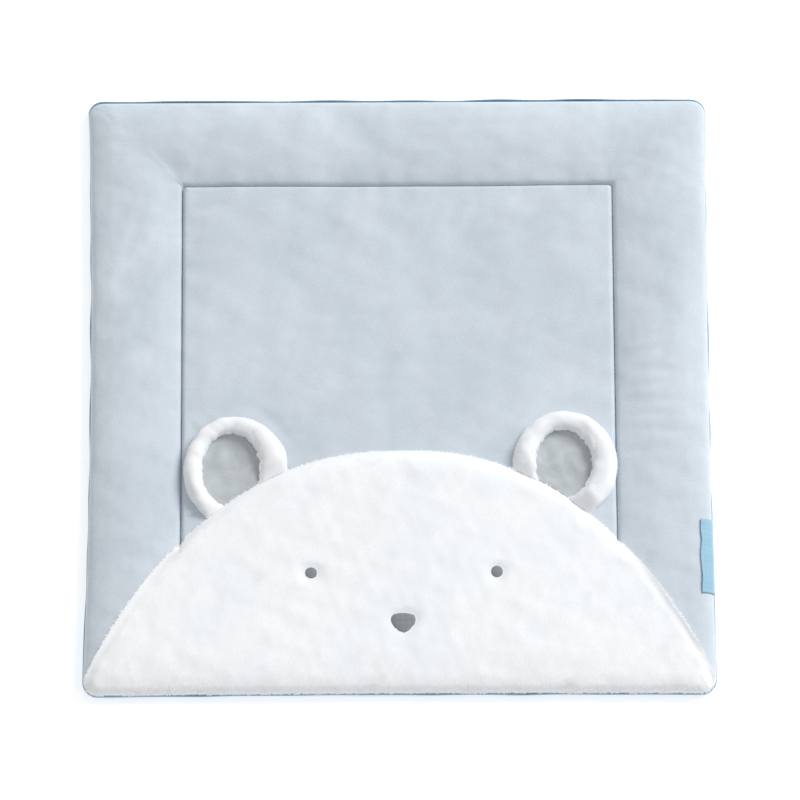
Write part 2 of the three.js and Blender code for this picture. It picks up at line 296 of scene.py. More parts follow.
def disc_piece(name: str, top: Array, bottom: Array, material: bpy.types.Material) -> bpy.types.Object:
    """Closed disc between two sets of rings about a middle, each ring anticlockwise and the widest last.

    Args:
        name: Name of the object.
        top: Rings of points of the upper face.
        bottom: Rings of points of the lower face.
        material: Finish of the whole piece.

    Returns:
        The new object.
    """
    rings, around = top.shape[:2]
    count = rings * around
    first = np.arange(around)
    middle_top, middle_bottom = 2 * count, 2 * count + 1
    outwards = grid_faces(rings, around, wrap=True)[:, ::-1]
    walls = loop_faces(first + count - around + count, first + count - around)
    quads = np.concatenate([outwards, outwards[:, ::-1] + count, walls]).tolist()
    onwards = np.roll(first, -1)
    cap_top = np.stack([np.full(around, middle_top), first, onwards], axis=-1)
    cap_bottom = np.stack([np.full(around, middle_bottom), onwards + count, first + count], axis=-1)
    middles = [top[0].mean(axis=0), bottom[0].mean(axis=0)]
    points = np.concatenate([top.reshape(-1, 3), bottom.reshape(-1, 3), np.array(middles)])
    return mesh_piece(name, points, quads + cap_top.tolist() + cap_bottom.tolist(), material)


def tube_piece(name: str, rings: Array, material: bpy.types.Material) -> bpy.types.Object:
    """Closed tube through rings of points, each end filled to its own middle.

    Args:
        name: Name of the object.
        rings: Rings of points along the tube, each anticlockwise seen from the tube's far end.
        material: Finish of the whole piece.

    Returns:
        The new object.
    """
    length, around = rings.shape[:2]
    first = np.arange(around)
    last = first + (length - 1) * around
    start, end = length * around, length * around + 1
    sides = grid_faces(length, around, wrap=True).tolist()
    near = np.stack([np.full(around, start), np.roll(first, -1), first], axis=-1)
    far = np.stack([np.full(around, end), last, np.roll(last, -1)], axis=-1)
    middles = np.stack([rings[0].mean(axis=0), rings[-1].mean(axis=0)])
    points = np.concatenate([rings.reshape(-1, 3), middles])
    return mesh_piece(name, points, sides + near.tolist() + far.tolist(), material)


def set_height(piece: bpy.types.Object, heights: Array) -> None:
    """Give each point of plush its share of painted light along a strand, full at the tip and less where
    painted shade falls at the root, which its finish reads.
    """
    column = piece.data.attributes.new(PILE_PAINTED_LIGHT, "FLOAT", "POINT")
    column.data.foreach_set("value", heights.astype(np.float32).ravel())


def plush_skin(piece: bpy.types.Object) -> bpy.types.Object:
    """Give the cloth under a pile the painted shade that the strands have near their roots."""
    set_height(piece, np.full(len(piece.data.vertices), SKIN_PAINTED_LIGHT))
    return piece


def settle(piece: bpy.types.Object, node: str | None = None) -> bpy.types.Object:
    """Fix a piece to the mat and hide the solid it stands for.

    Args:
        piece: The piece.
        node: The solid that it replaces, if any.

    Returns:
        The same piece.
    """
    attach(piece, BODY)
    if node:
        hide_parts(node)
    LOG.info("%s: %d points, %d faces", piece.name, len(piece.data.vertices), len(piece.data.polygons))
    return piece


# Finishes


def to_linear(hex_colour: str) -> tuple[float, float, float, float]:
    """An sRGB hex colour as linear red, green and blue, with full alpha, by the sRGB standard's own curve.

    Args:
        hex_colour: A hash mark and six digits.

    Returns:
        Red, green, blue and alpha.
    """
    shares = [int(hex_colour[i : i + 2], 16) / 255.0 for i in (1, 3, 5)]
    red, green, blue = [s / 12.92 if s <= 0.04045 else ((s + 0.055) / 1.055) ** 2.4 for s in shares]
    return red, green, blue, 1.0


def per_metre(size_mm: float) -> float:
    """Texture scale whose features are about the given size."""
    return 1.0 / (size_mm * MM)


def add_node(
    tree: bpy.types.NodeTree,
    kind: str,
    inputs: dict[str | int, Any] | None = None,
    settings: dict[str, Any] | None = None,
) -> bpy.types.Node:
    """Add a node, set its options, and set or link its inputs.

    Args:
        tree: The material's node tree.
        kind: The node's type.
        inputs: A value, or another node's socket, for each input's name or number.
        settings: Values of the node's own options.

    Returns:
        The new node.
    """
    node = tree.nodes.new(kind)
    for name, value in (settings or {}).items():
        setattr(node, name, value)
    for name, value in (inputs or {}).items():
        if isinstance(value, Socket):
            tree.links.new(value, node.inputs[name])
        else:
            node.inputs[name].default_value = value
    return node


def new_material(name: str) -> tuple[bpy.types.Material, bpy.types.NodeTree, Socket]:
    """An empty node material.

    Args:
        name: The material's name.

    Returns:
        The material, its node tree and its Object coordinates.
    """
    material = bpy.data.materials.new(name)
    material.use_nodes = True
    tree = material.node_tree
    tree.nodes.clear()
    return material, tree, add_node(tree, "ShaderNodeTexCoord").outputs["Object"]


def blend_colours(tree: bpy.types.NodeTree, share: Socket, low: str | Socket, high: str) -> Socket:
    """Colour between a hex colour or a socket and another hex colour.

    Args:
        tree: The material's node tree.
        share: How much of the second colour shows.
        low: The first colour.
        high: The second colour.

    Returns:
        The blended colour's socket.
    """
    first = low if isinstance(low, Socket) else to_linear(low)
    inputs = {MIX_SHARE: share, MIX_LOW: first, MIX_HIGH: to_linear(high)}
    return add_node(tree, "ShaderNodeMix", inputs, {"data_type": "RGBA"}).outputs[MIX_RESULT]


def spread(tree: bpy.types.NodeTree, value: Socket, low: float, high: float) -> Socket:
    """A texture's middle range, low to high, drawn out to 0 to 1 and held there."""
    inputs = {"Value": value, "From Min": low, "From Max": high}
    return add_node(tree, "ShaderNodeMapRange", inputs).outputs["Result"]


def weigh(tree: bpy.types.NodeTree, parts: Sequence[tuple[Socket, float]]) -> Socket:
    """Sum of sockets, each times its own weight.

    Args:
        tree: The material's node tree.
        parts: Each socket with its weight.

    Returns:
        The sum's socket.
    """
    total: Any = 0.0
    for socket, weight in parts:
        inputs = {0: socket, 1: weight, 2: total}
        total = add_node(tree, "ShaderNodeMath", inputs, {"operation": "MULTIPLY_ADD"}).outputs[0]
    return total


def finish_cloth(tree: bpy.types.NodeTree, inputs: dict[str, Any]) -> None:
    """Close a cloth material with its shader."""
    shader = add_node(tree, "ShaderNodeBsdfPrincipled", {"Metallic": 0.0, "IOR": 1.5, **inputs})
    add_node(tree, "ShaderNodeOutputMaterial", {"Surface": shader.outputs[0]})


@dataclass(frozen=True)
class VelourFinish:
    """Polyester velour, knitted and sheared: a short nap that looks lighter or darker where it is brushed."""

    name: str = "polyester_velour"
    shade: str = "#c4ced7"
    light: str = "#d4dde5"
    patch_mm: float = 150.0
    stroke_mm: float = 22.0
    stroke_heading: float = 0.6
    nap_mm: float = 2.6  # the true nap is about 0.3 mm, drawn coarser so that it shows
    patch_tone: float = 0.5
    stroke_tone: float = 0.2
    nap_tone: float = 0.3
    tone_range: tuple[float, float] = (0.36, 0.64)
    stroke_relief: float = 0.25
    nap_relief: float = 0.75
    relief_mm: float = 1.4

    def material(self) -> bpy.types.Material:
        """Brushed patches, strokes of the hand across the nap, and its grain, as colour and as relief.

        Returns:
            The finish.
        """
        material, tree, place = new_material(self.name)
        patch = add_node(
            tree,
            "ShaderNodeTexNoise",
            {"Vector": place, "Scale": per_metre(self.patch_mm), "Detail": 4.0, "Distortion": 0.8},
        ).outputs[0]
        turned = add_node(
            tree,
            "ShaderNodeMapping",
            {"Vector": place, "Rotation": (0.0, 0.0, self.stroke_heading), "Scale": (0.5, 1.0, 1.0)},
        ).outputs[0]
        stroke = add_node(
            tree,
            "ShaderNodeTexNoise",
            {"Vector": turned, "Scale": per_metre(self.stroke_mm), "Detail": 5.0, "Roughness": 0.62},
        ).outputs[0]
        nap = add_node(
            tree,
            "ShaderNodeTexNoise",
            {"Vector": place, "Scale": per_metre(self.nap_mm), "Detail": 2.0, "Roughness": 0.7},
        ).outputs[0]
        mottle = weigh(tree, [(patch, self.patch_tone), (stroke, self.stroke_tone), (nap, self.nap_tone)])
        tone = spread(tree, mottle, *self.tone_range)
        relief = weigh(tree, [(stroke, self.stroke_relief), (nap, self.nap_relief)])
        lift = {"Strength": 0.4, "Distance": self.relief_mm * MM, "Height": relief}
        bump = add_node(tree, "ShaderNodeBump", lift)
        finish_cloth(
            tree,
            {
                "Base Color": blend_colours(tree, tone, self.shade, self.light),
                "Roughness": 0.95,
                "Specular IOR Level": 0.15,
                "Sheen Weight": 0.22,
                "Sheen Roughness": 0.45,
                "Normal": bump.outputs[0],
            },
        )
        return material


@dataclass(frozen=True)
class PlushFinish:
    """Polyester plush, knitted and cut: soft white pile, with painted shade at its roots and a little cool in
    patches.
    """

    name: str = "polyester_plush"
    # Painted shade: the roots' grey stands for the fibres shading each other, since the pile casts no shadow.
    root: str = "#c6cacf"
    tip: str = "#f9fbfd"
    cool: str = "#eff4f9"
    patch_mm: float = 110.0
    cool_range: tuple[float, float] = (0.5, 0.85)

    def material(self) -> bpy.types.Material:
        """White tips over roots in painted grey shade, read from each point's share of painted light, with
        slow cool patches.

        Returns:
            The finish.
        """
        material, tree, place = new_material(self.name)
        patch = add_node(
            tree,
            "ShaderNodeTexNoise",
            {"Vector": place, "Scale": per_metre(self.patch_mm), "Detail": 2.0},
        ).outputs[0]
        strand = add_node(tree, "ShaderNodeAttribute", settings={"attribute_name": PILE_PAINTED_LIGHT})
        pile = blend_colours(tree, strand.outputs["Fac"], self.root, self.tip)
        tinted = blend_colours(tree, spread(tree, patch, *self.cool_range), pile, self.cool)
        finish_cloth(
            tree,
            {"Base Color": tinted, "Roughness": 1.0, "Specular IOR Level": 0.1, "Sheen Weight": 0.15},
        )
        return material


@dataclass(frozen=True)
class WovenFinish:
    """Plain-woven cloth: two sets of threads that cross, with a painted highlight on top of each thread."""

    name: str
    shade: str
    light: str
    thread_mm: float
    sheen: float = 0.1
    roughness: float = 0.85
    band_tone: float = 0.12
    fading_tone: float = 0.76
    tone_range: tuple[float, float] = (0.25, 0.75)
    fading_threads: float = 22.0
    relief_share: float = 0.3

    def material(self) -> bpy.types.Material:
        """Crossed thread bands with slow fading, as colour with a painted highlight on each thread's top, and
        as relief.

        Returns:
            The finish.
        """
        material, tree, place = new_material(self.name)
        scale = per_metre(self.thread_mm) / WAVE_BANDS
        threads = {"Vector": place, "Scale": scale, "Distortion": 0.6, "Detail Scale": 2.0}
        bands = [
            add_node(tree, "ShaderNodeTexWave", threads, {"bands_direction": way}).outputs["Fac"]
            for way in ("X", "Y")
        ]
        fading = add_node(
            tree,
            "ShaderNodeTexNoise",
            {"Vector": place, "Scale": per_metre(self.thread_mm * self.fading_threads), "Detail": 3.0},
        ).outputs[0]
        # The thread bands lighten the colour: a painted highlight on each thread's top, with random fading
        # beside it.
        mottle = weigh(tree, [*((band, self.band_tone) for band in bands), (fading, self.fading_tone)])
        tone = spread(tree, mottle, *self.tone_range)
        relief = weigh(tree, [(band, 0.5) for band in bands])
        lift = {"Strength": 0.5, "Distance": self.relief_share * self.thread_mm * MM, "Height": relief}
        bump = add_node(tree, "ShaderNodeBump", lift)
        finish_cloth(
            tree,
            {
                "Base Color": blend_colours(tree, tone, self.shade, self.light),
                "Roughness": self.roughness,
                "Specular IOR Level": 0.25,
                "Sheen Weight": self.sheen,
                "Normal": bump.outputs[0],
            },
        )
        return material


@dataclass(frozen=True)
class FloorFinish:
    """Matt white studio paper, lit a little from below so that shadows stay faint."""

    name: str = "studio_paper"
    colour: str = "#f6f7f8"
    grain_mm: float = 300.0
    glow: float = 0.45

    def material(self) -> bpy.types.Material:
        """Plain white paper with a faint grain.

        Returns:
            The finish.
        """
        material, tree, place = new_material(self.name)
        waves = {"Vector": place, "Scale": per_metre(self.grain_mm)}
        grain = add_node(tree, "ShaderNodeTexNoise", waves).outputs[0]
        inputs = {
            "Base Color": blend_colours(tree, grain, self.colour, WHITE),
            "Roughness": 1.0,
            "Specular IOR Level": 0.0,
            "Emission Color": to_linear(WHITE),
            "Emission Strength": self.glow,
        }
        finish_cloth(tree, inputs)
        return material


# The mat's plan


@dataclass(frozen=True)
class MatPlan:
    """Outline of the mat and of the bear's head on it."""

    half: float = 500.0
    rim_corner: float = 24.0
    seam_corner: float = 5.0
    border: float = 153.0
    draw_in_left: float = 8.0
    draw_in_right: float = 3.0
    draw_in_front: float = 2.0
    far_short: float = 4.0
    draw_in_power: float = 6.0
    face_x: float = 6.0
    head_inset: float = 0.8
    head_rise: float = 395.0
    head_foot: float = 12.0
    dome_spread: float = 2.3
    dome_fall: float = 0.87

    @property
    def reach(self) -> float:
        """Half the head's width at the front edge."""
        return self.half - self.head_inset

    def inset(self, x: Array, y: Array) -> Array:
        """Distance in from the nearest side of the plain square."""
        return self.half - np.maximum(np.abs(x), np.abs(y))

    def place(self, x: Array, y: Array) -> tuple[Array, Array]:
        """Real place of a point of the plain square.

        The corner of each square ring is turned to an arc, whose radius runs from the rim's to the seam's.
        The middle of the left, right and front sides is pulled in by a parabola, and the far side falls short
        along its whole length. Both fade inwards from the rim.

        Args:
            x: Across the plain square.
            y: Along the plain square.

        Returns:
            Across and along the real outline.
        """
        across, along = np.abs(x), np.abs(y)
        ring = np.maximum(across, along)
        share = np.clip((self.half - ring) / self.border, 0.0, 1.0)
        radius = np.minimum(self.rim_corner + (self.seam_corner - self.rim_corner) * share, ring)
        straight = ring - radius
        shorter = np.minimum(across, along)
        turn = np.clip((shorter - straight) / np.maximum(radius, TINY), 0.0, 1.0) * np.pi / 4.0
        rounded = shorter > straight
        near = np.where(rounded, straight + radius * np.sin(turn), shorter)
        far = np.where(rounded, straight + radius * np.cos(turn), ring)
        steep = across < along
        px, py = np.where(steep, near, far), np.where(steep, far, near)
        bow_x, bow_y = (1.0 - np.minimum(way / (self.half - self.rim_corner), 1.0) ** 2 for way in (py, px))
        pull_x = np.where(x < 0.0, self.draw_in_left, self.draw_in_right) * bow_x
        pull_y = np.where(y < 0.0, self.draw_in_front * bow_y, self.far_short)
        px = px - pull_x * (px / self.half) ** self.draw_in_power
        py = py - pull_y * (py / self.half) ** self.draw_in_power
        return np.sign(x) * px, np.sign(y) * py

    def dome(self, x: Array) -> Array:
        """Height of the head's outline above the front edge: a power of one less a power of the share across.

        Args:
            x: Across the mat.

        Returns:
            Heights above the front edge.
        """
        half_width = self.reach - np.sign(x - self.face_x) * self.face_x
        share = np.minimum(np.abs(x - self.face_x) / half_width, 1.0)
        rise = (1.0 - share**self.dome_spread) ** self.dome_fall
        return self.head_foot + (self.head_rise - self.head_foot) * rise

    def inside_head(self, x: Array, y: Array) -> Array:
        """How far a point lies inside the head's outline, measured towards the far edge."""
        return self.dome(x) - self.reach - y


@dataclass(frozen=True)
class Swell:
    """One slow swell of the stuffing."""

    wavelength: float
    heading: float
    phase: float
    height: float

    def lift(self, x: Array, y: Array) -> Array:
        """Height of the swell: a plane wave."""
        way = x * math.cos(self.heading) + y * math.sin(self.heading)
        return self.height * np.cos(2.0 * np.pi * way / self.wavelength + self.phase)


@dataclass(frozen=True)
class Ripple:
    """Fine unevenness of a cloth."""

    height: float
    wavelength: float
    seed: int

    def lift(self, x: Array, y: Array) -> Array:
        """Height of the unevenness: seeded waves near one wavelength."""
        return self.height * wave_noise(x, y, self.wavelength, seed=self.seed)


@dataclass(frozen=True)
class Crease:
    """A short crease in the cover: a valley with a low fold beside it."""

    x: float
    y: float
    heading: float
    length: float
    width: float
    depth: float
    fold: float = 0.7
    fold_offset: float = 1.8
    end_power: int = 4

    def lift(self, x: Array, y: Array) -> Array:
        """Height of the crease: a narrow bell across it, less a wider one beside it, both faded along it.

        Args:
            x: Across the mat.
            y: Along the mat.

        Returns:
            Heights to add to the cover.
        """
        east, north = x - self.x, y - self.y
        along = (east * math.cos(self.heading) + north * math.sin(self.heading)) / self.length
        across = (north * math.cos(self.heading) - east * math.sin(self.heading)) / self.width
        fold = self.fold * np.exp(-((across - self.fold_offset) ** 2) / 2.0)
        valley = np.exp(-(across**2)) - fold
        return -self.depth * valley * np.exp(-((along * 2.0) ** self.end_power))


@dataclass
class PadCover:
    """The filled pad in its velour cover: a plump border, a sewn square, and a lower middle panel."""

    plan: MatPlan
    finish: VelourFinish = VelourFinish()
    fill: float = 0.6
    section_inset: tuple[float, ...] = (*BORDER_INSETS, 153.0, 174.0, 200.0, 240.0, 500.0)
    section_height: tuple[float, ...] = (
        *(18.5, 21.5, 25.0, 28.4, 31.8, 35.6, 38.8, 40.0, 39.2, 36.6, 32.6),
        *(28.0, 28.2, 28.8, 28.6, 25.5),
    )
    channel_depth: float = 11.0
    channel_outer: float = 2.4
    channel_inner: float = 1.8
    corner_blend: float = 55.0
    hidden_inset: tuple[float, ...] = (0.6, 9.0, 24.0, 65.0, 500.0)
    hidden_height: tuple[float, ...] = (17.5, 25.0, 32.0, 36.5, 36.0)
    side_inset: tuple[float, ...] = (10.0, 5.6, 3.8, 3.1, 2.9, 1.6)
    side_height: tuple[float, ...] = (2.4, 4.6, 7.4, 10.6, 13.6, 15.4)
    head_blend: float = 24.0
    line_inset: tuple[float, ...] = (
        *BORDER_INSETS,
        *(144.0, 149.0, 153.0, 157.0, 162.0, 174.0, 200.0, 240.0, 500.0),
    )
    line_steps: tuple[int, ...] = (3, 3, 3, 4, 4, 6, 7, 8, 8, 8, 5, 4, 5, 5, 4, 4, 6, 8, 46)
    pucker_depth: float = 0.45
    pucker_fade: float = 18.0
    pucker_wave: float = 34.0
    pucker_seed: int = 5
    seam_calm: float = 5.0
    rim_calm: tuple[float, float] = (0.6, 14.0)
    swell_rise: tuple[float, float] = (9.0, 65.0)
    ripples: tuple[Ripple, ...] = (Ripple(0.4, 75.0, 11), Ripple(0.14, 26.0, 12))
    swells: tuple[Swell, ...] = (
        Swell(520.0, 0.5, 0.4, 1.3),
        Swell(310.0, 1.9, 2.1, 0.9),
        Swell(230.0, 2.8, 4.0, 0.6),
    )
    creases: tuple[Crease, ...] = (
        Crease(-327.0, -208.0, 0.32, 44.0, 3.2, 2.4),
        Crease(-320.0, -70.0, -0.75, 40.0, 5.0, 0.9),
        Crease(-296.0, -58.0, -0.9, 34.0, 4.5, 0.8),
        Crease(-205.0, -48.0, -0.7, 60.0, 6.0, 0.9),
        Crease(-180.0, -75.0, -0.8, 62.0, 6.0, 0.9),
        Crease(400.0, 60.0, 0.06, 90.0, 6.0, 0.8),
        Crease(415.0, 28.0, -0.08, 100.0, 6.0, 0.9),
        Crease(395.0, 2.0, 0.10, 84.0, 5.0, 0.8),
        Crease(408.0, -22.0, -0.04, 110.0, 6.0, 1.0),
        Crease(392.0, -48.0, 0.05, 80.0, 5.0, 0.9),
        Crease(415.0, -72.0, -0.12, 96.0, 6.0, 0.8),
        Crease(400.0, -104.0, 0.08, 90.0, 7.0, 0.8),
        Crease(-430.0, 250.0, 1.2, 70.0, 8.0, 0.8),
        Crease(-300.0, 310.0, 0.2, 60.0, 7.0, 0.7),
    )

    def swell(self, x: Array, y: Array) -> Array:
        """Slow swells of the stuffing, none at the rim."""
        total = sum(wave.lift(x, y) for wave in self.swells)
        return total * smooth_step(self.plan.inset(x, y), *self.swell_rise)

    def soft_section(self, x: Array, y: Array, inset: Array) -> Array:
        """Height of the stuffing: the section from each side, eased from one to the other at the corners.

        Args:
            x: Across the plain square.
            y: Along the plain square.
            inset: Distance in from the nearest side.

        Returns:
            Heights above the floor.
        """
        across = section_curve(self.plan.half - np.abs(x), self.section_inset, self.section_height)
        along = section_curve(self.plan.half - np.abs(y), self.section_inset, self.section_height)
        ease = 1.0 + self.corner_blend * smooth_step(inset, 0.0, self.corner_blend)
        share = smooth_step((np.abs(x) - np.abs(y)) / ease, -1.0, 1.0)
        return along + (across - along) * share

    def body(self, x: Array, y: Array) -> Array:
        """Height without wrinkles: the stuffing less the channel, smooth under the head, and swells.

        Args:
            x: Across the plain square.
            y: Along the plain square.

        Returns:
            Heights above the floor.
        """
        inset = self.plan.inset(x, y)
        soft = self.soft_section(x, y, inset)
        fade = np.where(inset < self.plan.border, self.channel_outer, self.channel_inner)
        shown = soft - self.channel_depth * np.exp(-np.abs(inset - self.plan.border) / fade)
        hidden = section_curve(inset, self.hidden_inset, self.hidden_height)
        cover = smooth_step(self.plan.inside_head(x, y), 0.0, self.head_blend)
        return shown + (hidden - shown) * cover + self.swell(x, y)

    def wrinkles(self, x: Array, y: Array) -> Array:
        """Relief of the cover: puckers that fade away from the seams, creases, and fine unevenness.

        Args:
            x: Across the plain square.
            y: Along the plain square.

        Returns:
            Heights to add to the body.
        """
        inset = self.plan.inset(x, y)
        sideways = np.abs(x) > np.abs(y)
        along = np.where(sideways, y, x) + 3.0 * self.plan.half * sideways
        pucker = wave_noise(along, np.zeros_like(along), self.pucker_wave, seed=self.pucker_seed)
        at_seam = np.exp(-np.abs(inset - self.plan.border) / self.pucker_fade)
        at_rim = np.exp(-inset / self.pucker_fade)
        relief = self.pucker_depth * pucker * (at_seam + at_rim)
        relief += sum(ripple.lift(x, y) for ripple in self.ripples)
        relief += sum(crease.lift(x, y) for crease in self.creases)
        crisp = smooth_step(np.abs(inset - self.plan.border), 0.0, self.seam_calm)
        return relief * crisp * smooth_step(inset, *self.rim_calm)

    def top(self, x: Array, y: Array) -> Array:
        """Height of the cover."""
        return self.body(x, y) + self.wrinkles(x, y)

    def lines(self) -> Array:
        """Grid lines across the mat, close together at the rim and the seam and even across the panel.

        Returns:
            Places of the lines, from one side to the other.
        """
        spans = zip(self.line_inset[:-1], self.line_inset[1:], self.line_steps)
        stretches = [np.linspace(near, far, steps, endpoint=False) for near, far, steps in spans]
        stretches.append(np.array([self.plan.half]))
        outwards = self.plan.half - np.concatenate(stretches)
        return np.concatenate([-outwards, outwards[-2::-1]])

    def build(self) -> bpy.types.Object:
        """Grid of the cover's top, the rings of its sides, and its flat base.

        Returns:
            The cover.
        """
        lines = self.lines()
        x, y = np.meshgrid(lines, lines)
        px, py = self.plan.place(x, y)
        top = np.stack([px, py, self.top(x, y)], axis=-1).reshape(-1, 3)
        count = len(lines)
        edge = grid_edge(count, count)
        square = np.stack([x.ravel()[edge], y.ravel()[edge]]) / lines[-1]
        rings = []
        for inset, height in zip(self.side_inset, self.side_height):
            rx, ry = self.plan.place(*(square * (self.plan.half - inset)))
            rings.append(np.stack([rx, ry, np.full_like(rx, height)], axis=-1))
        loops = [len(top) + np.arange(len(edge)) + k * len(edge) for k in range(len(rings))]
        walls = [loop_faces(low, high) for low, high in zip(loops, [*loops[1:], edge])]
        faces = np.concatenate([grid_faces(count, count), *walls]).tolist()
        faces.append(loops[0][::-1].tolist())
        piece = mesh_piece("pad_cover", np.concatenate([top, *rings]), faces, self.finish.material())
        return settle(piece, "pad")


@dataclass
class BackCloth:
    """The plain back cloth, whose edge turns up to the rim seam and shows as a thin line round the mat,
    painted darker than its own blue as shade along that line.
    """

    plan: MatPlan
    # The back cloth's two colours are darker than its own sky blue: painted shade for the thin dark line
    # round the mat's foot.
    finish: WovenFinish = WovenFinish("cotton_poplin", "#7b9cb4", "#8fb1c8", thread_mm=1.6)
    section_inset: tuple[float, ...] = (8.0, 3.4, 0.8, -0.6, -1.0, -0.8, 0.0, 1.1, 2.2, 2.5, 3.1, 5.2, 9.2)
    section_height: tuple[float, ...] = (0.0, 0.5, 2.2, 5.0, 8.4, 11.6, 13.2, 13.5, 12.8, 10.2, 6.8, 3.8, 1.9)
    around_step: float = 5.0
    waver: float = 0.7
    waver_wave: float = 120.0
    waver_seed: int = 31
    waver_rise: tuple[float, float] = (2.0, 9.0)
    turn_up: float = 13.2

    def build(self) -> bpy.types.Object:
        """Section carried round the mat's outline, with a rim that wavers, closed by its flat faces.

        Returns:
            The back cloth.
        """
        side = np.linspace(-1.0, 1.0, round(2.0 * self.plan.half / self.around_step), endpoint=False)
        one = np.ones_like(side)
        square = np.concatenate([[side, -one], [one, side], [-side, one], [-one, -side]], axis=1)
        waver = self.waver * wave_noise(*(square * self.plan.half), self.waver_wave, seed=self.waver_seed)
        rings = []
        for inset, height in zip(self.section_inset, self.section_height):
            px, py = self.plan.place(*(square * (self.plan.half - max(inset, 0.0))))
            outwards = unit(np.stack([px, py], axis=-1))
            grow = smooth_step(np.asarray(height), *self.waver_rise)
            flat = np.stack([px, py], axis=-1) + outwards * ((waver * grow) - min(inset, 0.0))[:, None]
            rings.append(np.column_stack([flat, np.full(len(flat), height)]))
        around = len(rings[0])
        loops = [np.arange(around) + k * around for k in range(len(rings))]
        faces = np.concatenate([loop_faces(a, b) for a, b in zip(loops[:-1], loops[1:])]).tolist()
        faces += [loops[0][::-1].tolist(), loops[-1].tolist()]
        piece = mesh_piece("back_cloth", np.concatenate(rings), faces, self.finish.material())
        return settle(piece, "backing")


@dataclass
class Tufts:
    """Tufts of a pile as whole arrays, one row for each.

    Each has its root, the cloth's normal there, the way it is combed along the cloth, the way its tip is
    drawn towards its lock, its share of the full length, how upright it stands and how much painted light its
    root has, less where painted shade stands for the fibres shading each other.
    """

    roots: Array
    normals: Array
    combs: Array
    pulls: Array
    lengths: Array
    upright: Array
    lightness: Array

    def pick(self, mine: Array) -> "Tufts":
        """The tufts where a mask is true."""
        return Tufts(*(getattr(self, column.name)[mine] for column in fields(self)))


@dataclass
class Pile:
    """Cut pile: flat tapered tufts that lie along the comb, joined in one mesh."""

    length: float
    width: float
    lean: float
    stray: float = 0.1
    sunk: float = 1.2
    own_shade: float = 0.3
    shortest: float = 0.75
    longest: float = 1.2
    seed: int = 1

    def build(self, name: str, tufts: Tufts, material: bpy.types.Material) -> bpy.types.Object:
        """Tufts on a surface: a wedge, wide across its root and sunk below it, drawn to a tip along the comb.

        Its upper face is shaded much like the cloth below it, so that the tufts blend to one soft surface.

        Args:
            name: Name of the object.
            tufts: Where and how the tufts grow.
            material: The pile's finish.

        Returns:
            The new object.
        """
        numbers = np.random.default_rng(self.seed)
        count = len(tufts.roots)
        normals = tufts.normals
        stray = numbers.normal(0.0, self.stray, (count, 3))
        along = unit(tufts.combs - normals * np.sum(tufts.combs * normals, axis=1, keepdims=True))
        lean = (self.lean * (1.0 - tufts.upright))[:, None]
        axis = unit(normals * np.cos(lean) + along * np.sin(lean) + stray)
        length = self.length * tufts.lengths * numbers.uniform(self.shortest, self.longest, count)
        tips = tufts.roots + axis * length[:, None] + tufts.pulls
        aside = unit(np.cross(axis, normals)) * self.width
        under = tufts.roots - normals * self.sunk
        points = np.stack([tufts.roots - aside, tufts.roots + aside, under, tips], axis=1)
        corner = np.array([[0, 1, 3], [1, 2, 3], [2, 0, 3], [2, 1, 0]])
        faces = (np.arange(count)[:, None, None] * points.shape[1] + corner).reshape(-1, 3)
        piece = mesh_piece(name, points.reshape(-1, 3), faces.tolist(), material)
        first, second, third = (points[:, corner[:, place]] for place in range(3))
        facing = unit(np.cross(second - first, third - first))
        facing[:, 0] = unit(facing[:, 0] * self.own_shade + normals * (1.0 - self.own_shade))
        piece.data.normals_split_custom_set(np.repeat(facing.reshape(-1, 3), 3, axis=0).tolist())
        # Light passes between fine fibres, so the pile doesn't shade itself.
        piece.visible_shadow = False
        piece.visible_diffuse = False
        # Painted shade at each tuft's root, full painted light at its tip.
        set_height(piece, np.column_stack([tufts.lightness] * 3 + [np.ones(count)]))
        return piece


@dataclass(frozen=True)
class Feature:
    """An eye or the nose: where it is widest, its reach to all sides, and its outline's powers."""

    node: str
    x: float
    y: float
    half_width: float
    above: float
    below: float
    upper_power: float = 2.0
    lower_power: float = 2.0
    samples: int = 181

    def outline(self, angle: Array) -> Array:
        """Edge of the patch: a curve of equal sums of powers, one power above its widest line and one below.

        Args:
            angle: Way round the patch.

        Returns:
            Places from the middle of its widest line.
        """
        upper = np.sin(angle) > 0.0
        bend = 2.0 / np.where(upper, self.upper_power, self.lower_power)
        height = np.where(upper, self.above, self.below)
        across = self.half_width * np.sign(np.cos(angle)) * np.abs(np.cos(angle)) ** bend
        along = height * np.sign(np.sin(angle)) * np.abs(np.sin(angle)) ** bend
        return np.stack([across, along], axis=-1)

    def beyond(self, x: Array, y: Array) -> Array:
        """Distance of a point outside the patch's edge, along the way out from its middle.

        Args:
            x: Across the mat.
            y: Along the mat.

        Returns:
            Distances, less than zero inside the patch.
        """
        edge = self.outline(np.linspace(-np.pi, np.pi, self.samples))
        bearing = np.arctan2(edge[:, 1], edge[:, 0])
        order = np.argsort(bearing)
        reach = np.hypot(edge[:, 0], edge[:, 1])
        east, north = x - self.x, y - self.y
        at_edge = np.interp(np.arctan2(north, east), bearing[order], reach[order], period=FULL_TURN)
        return np.hypot(east, north) - at_edge


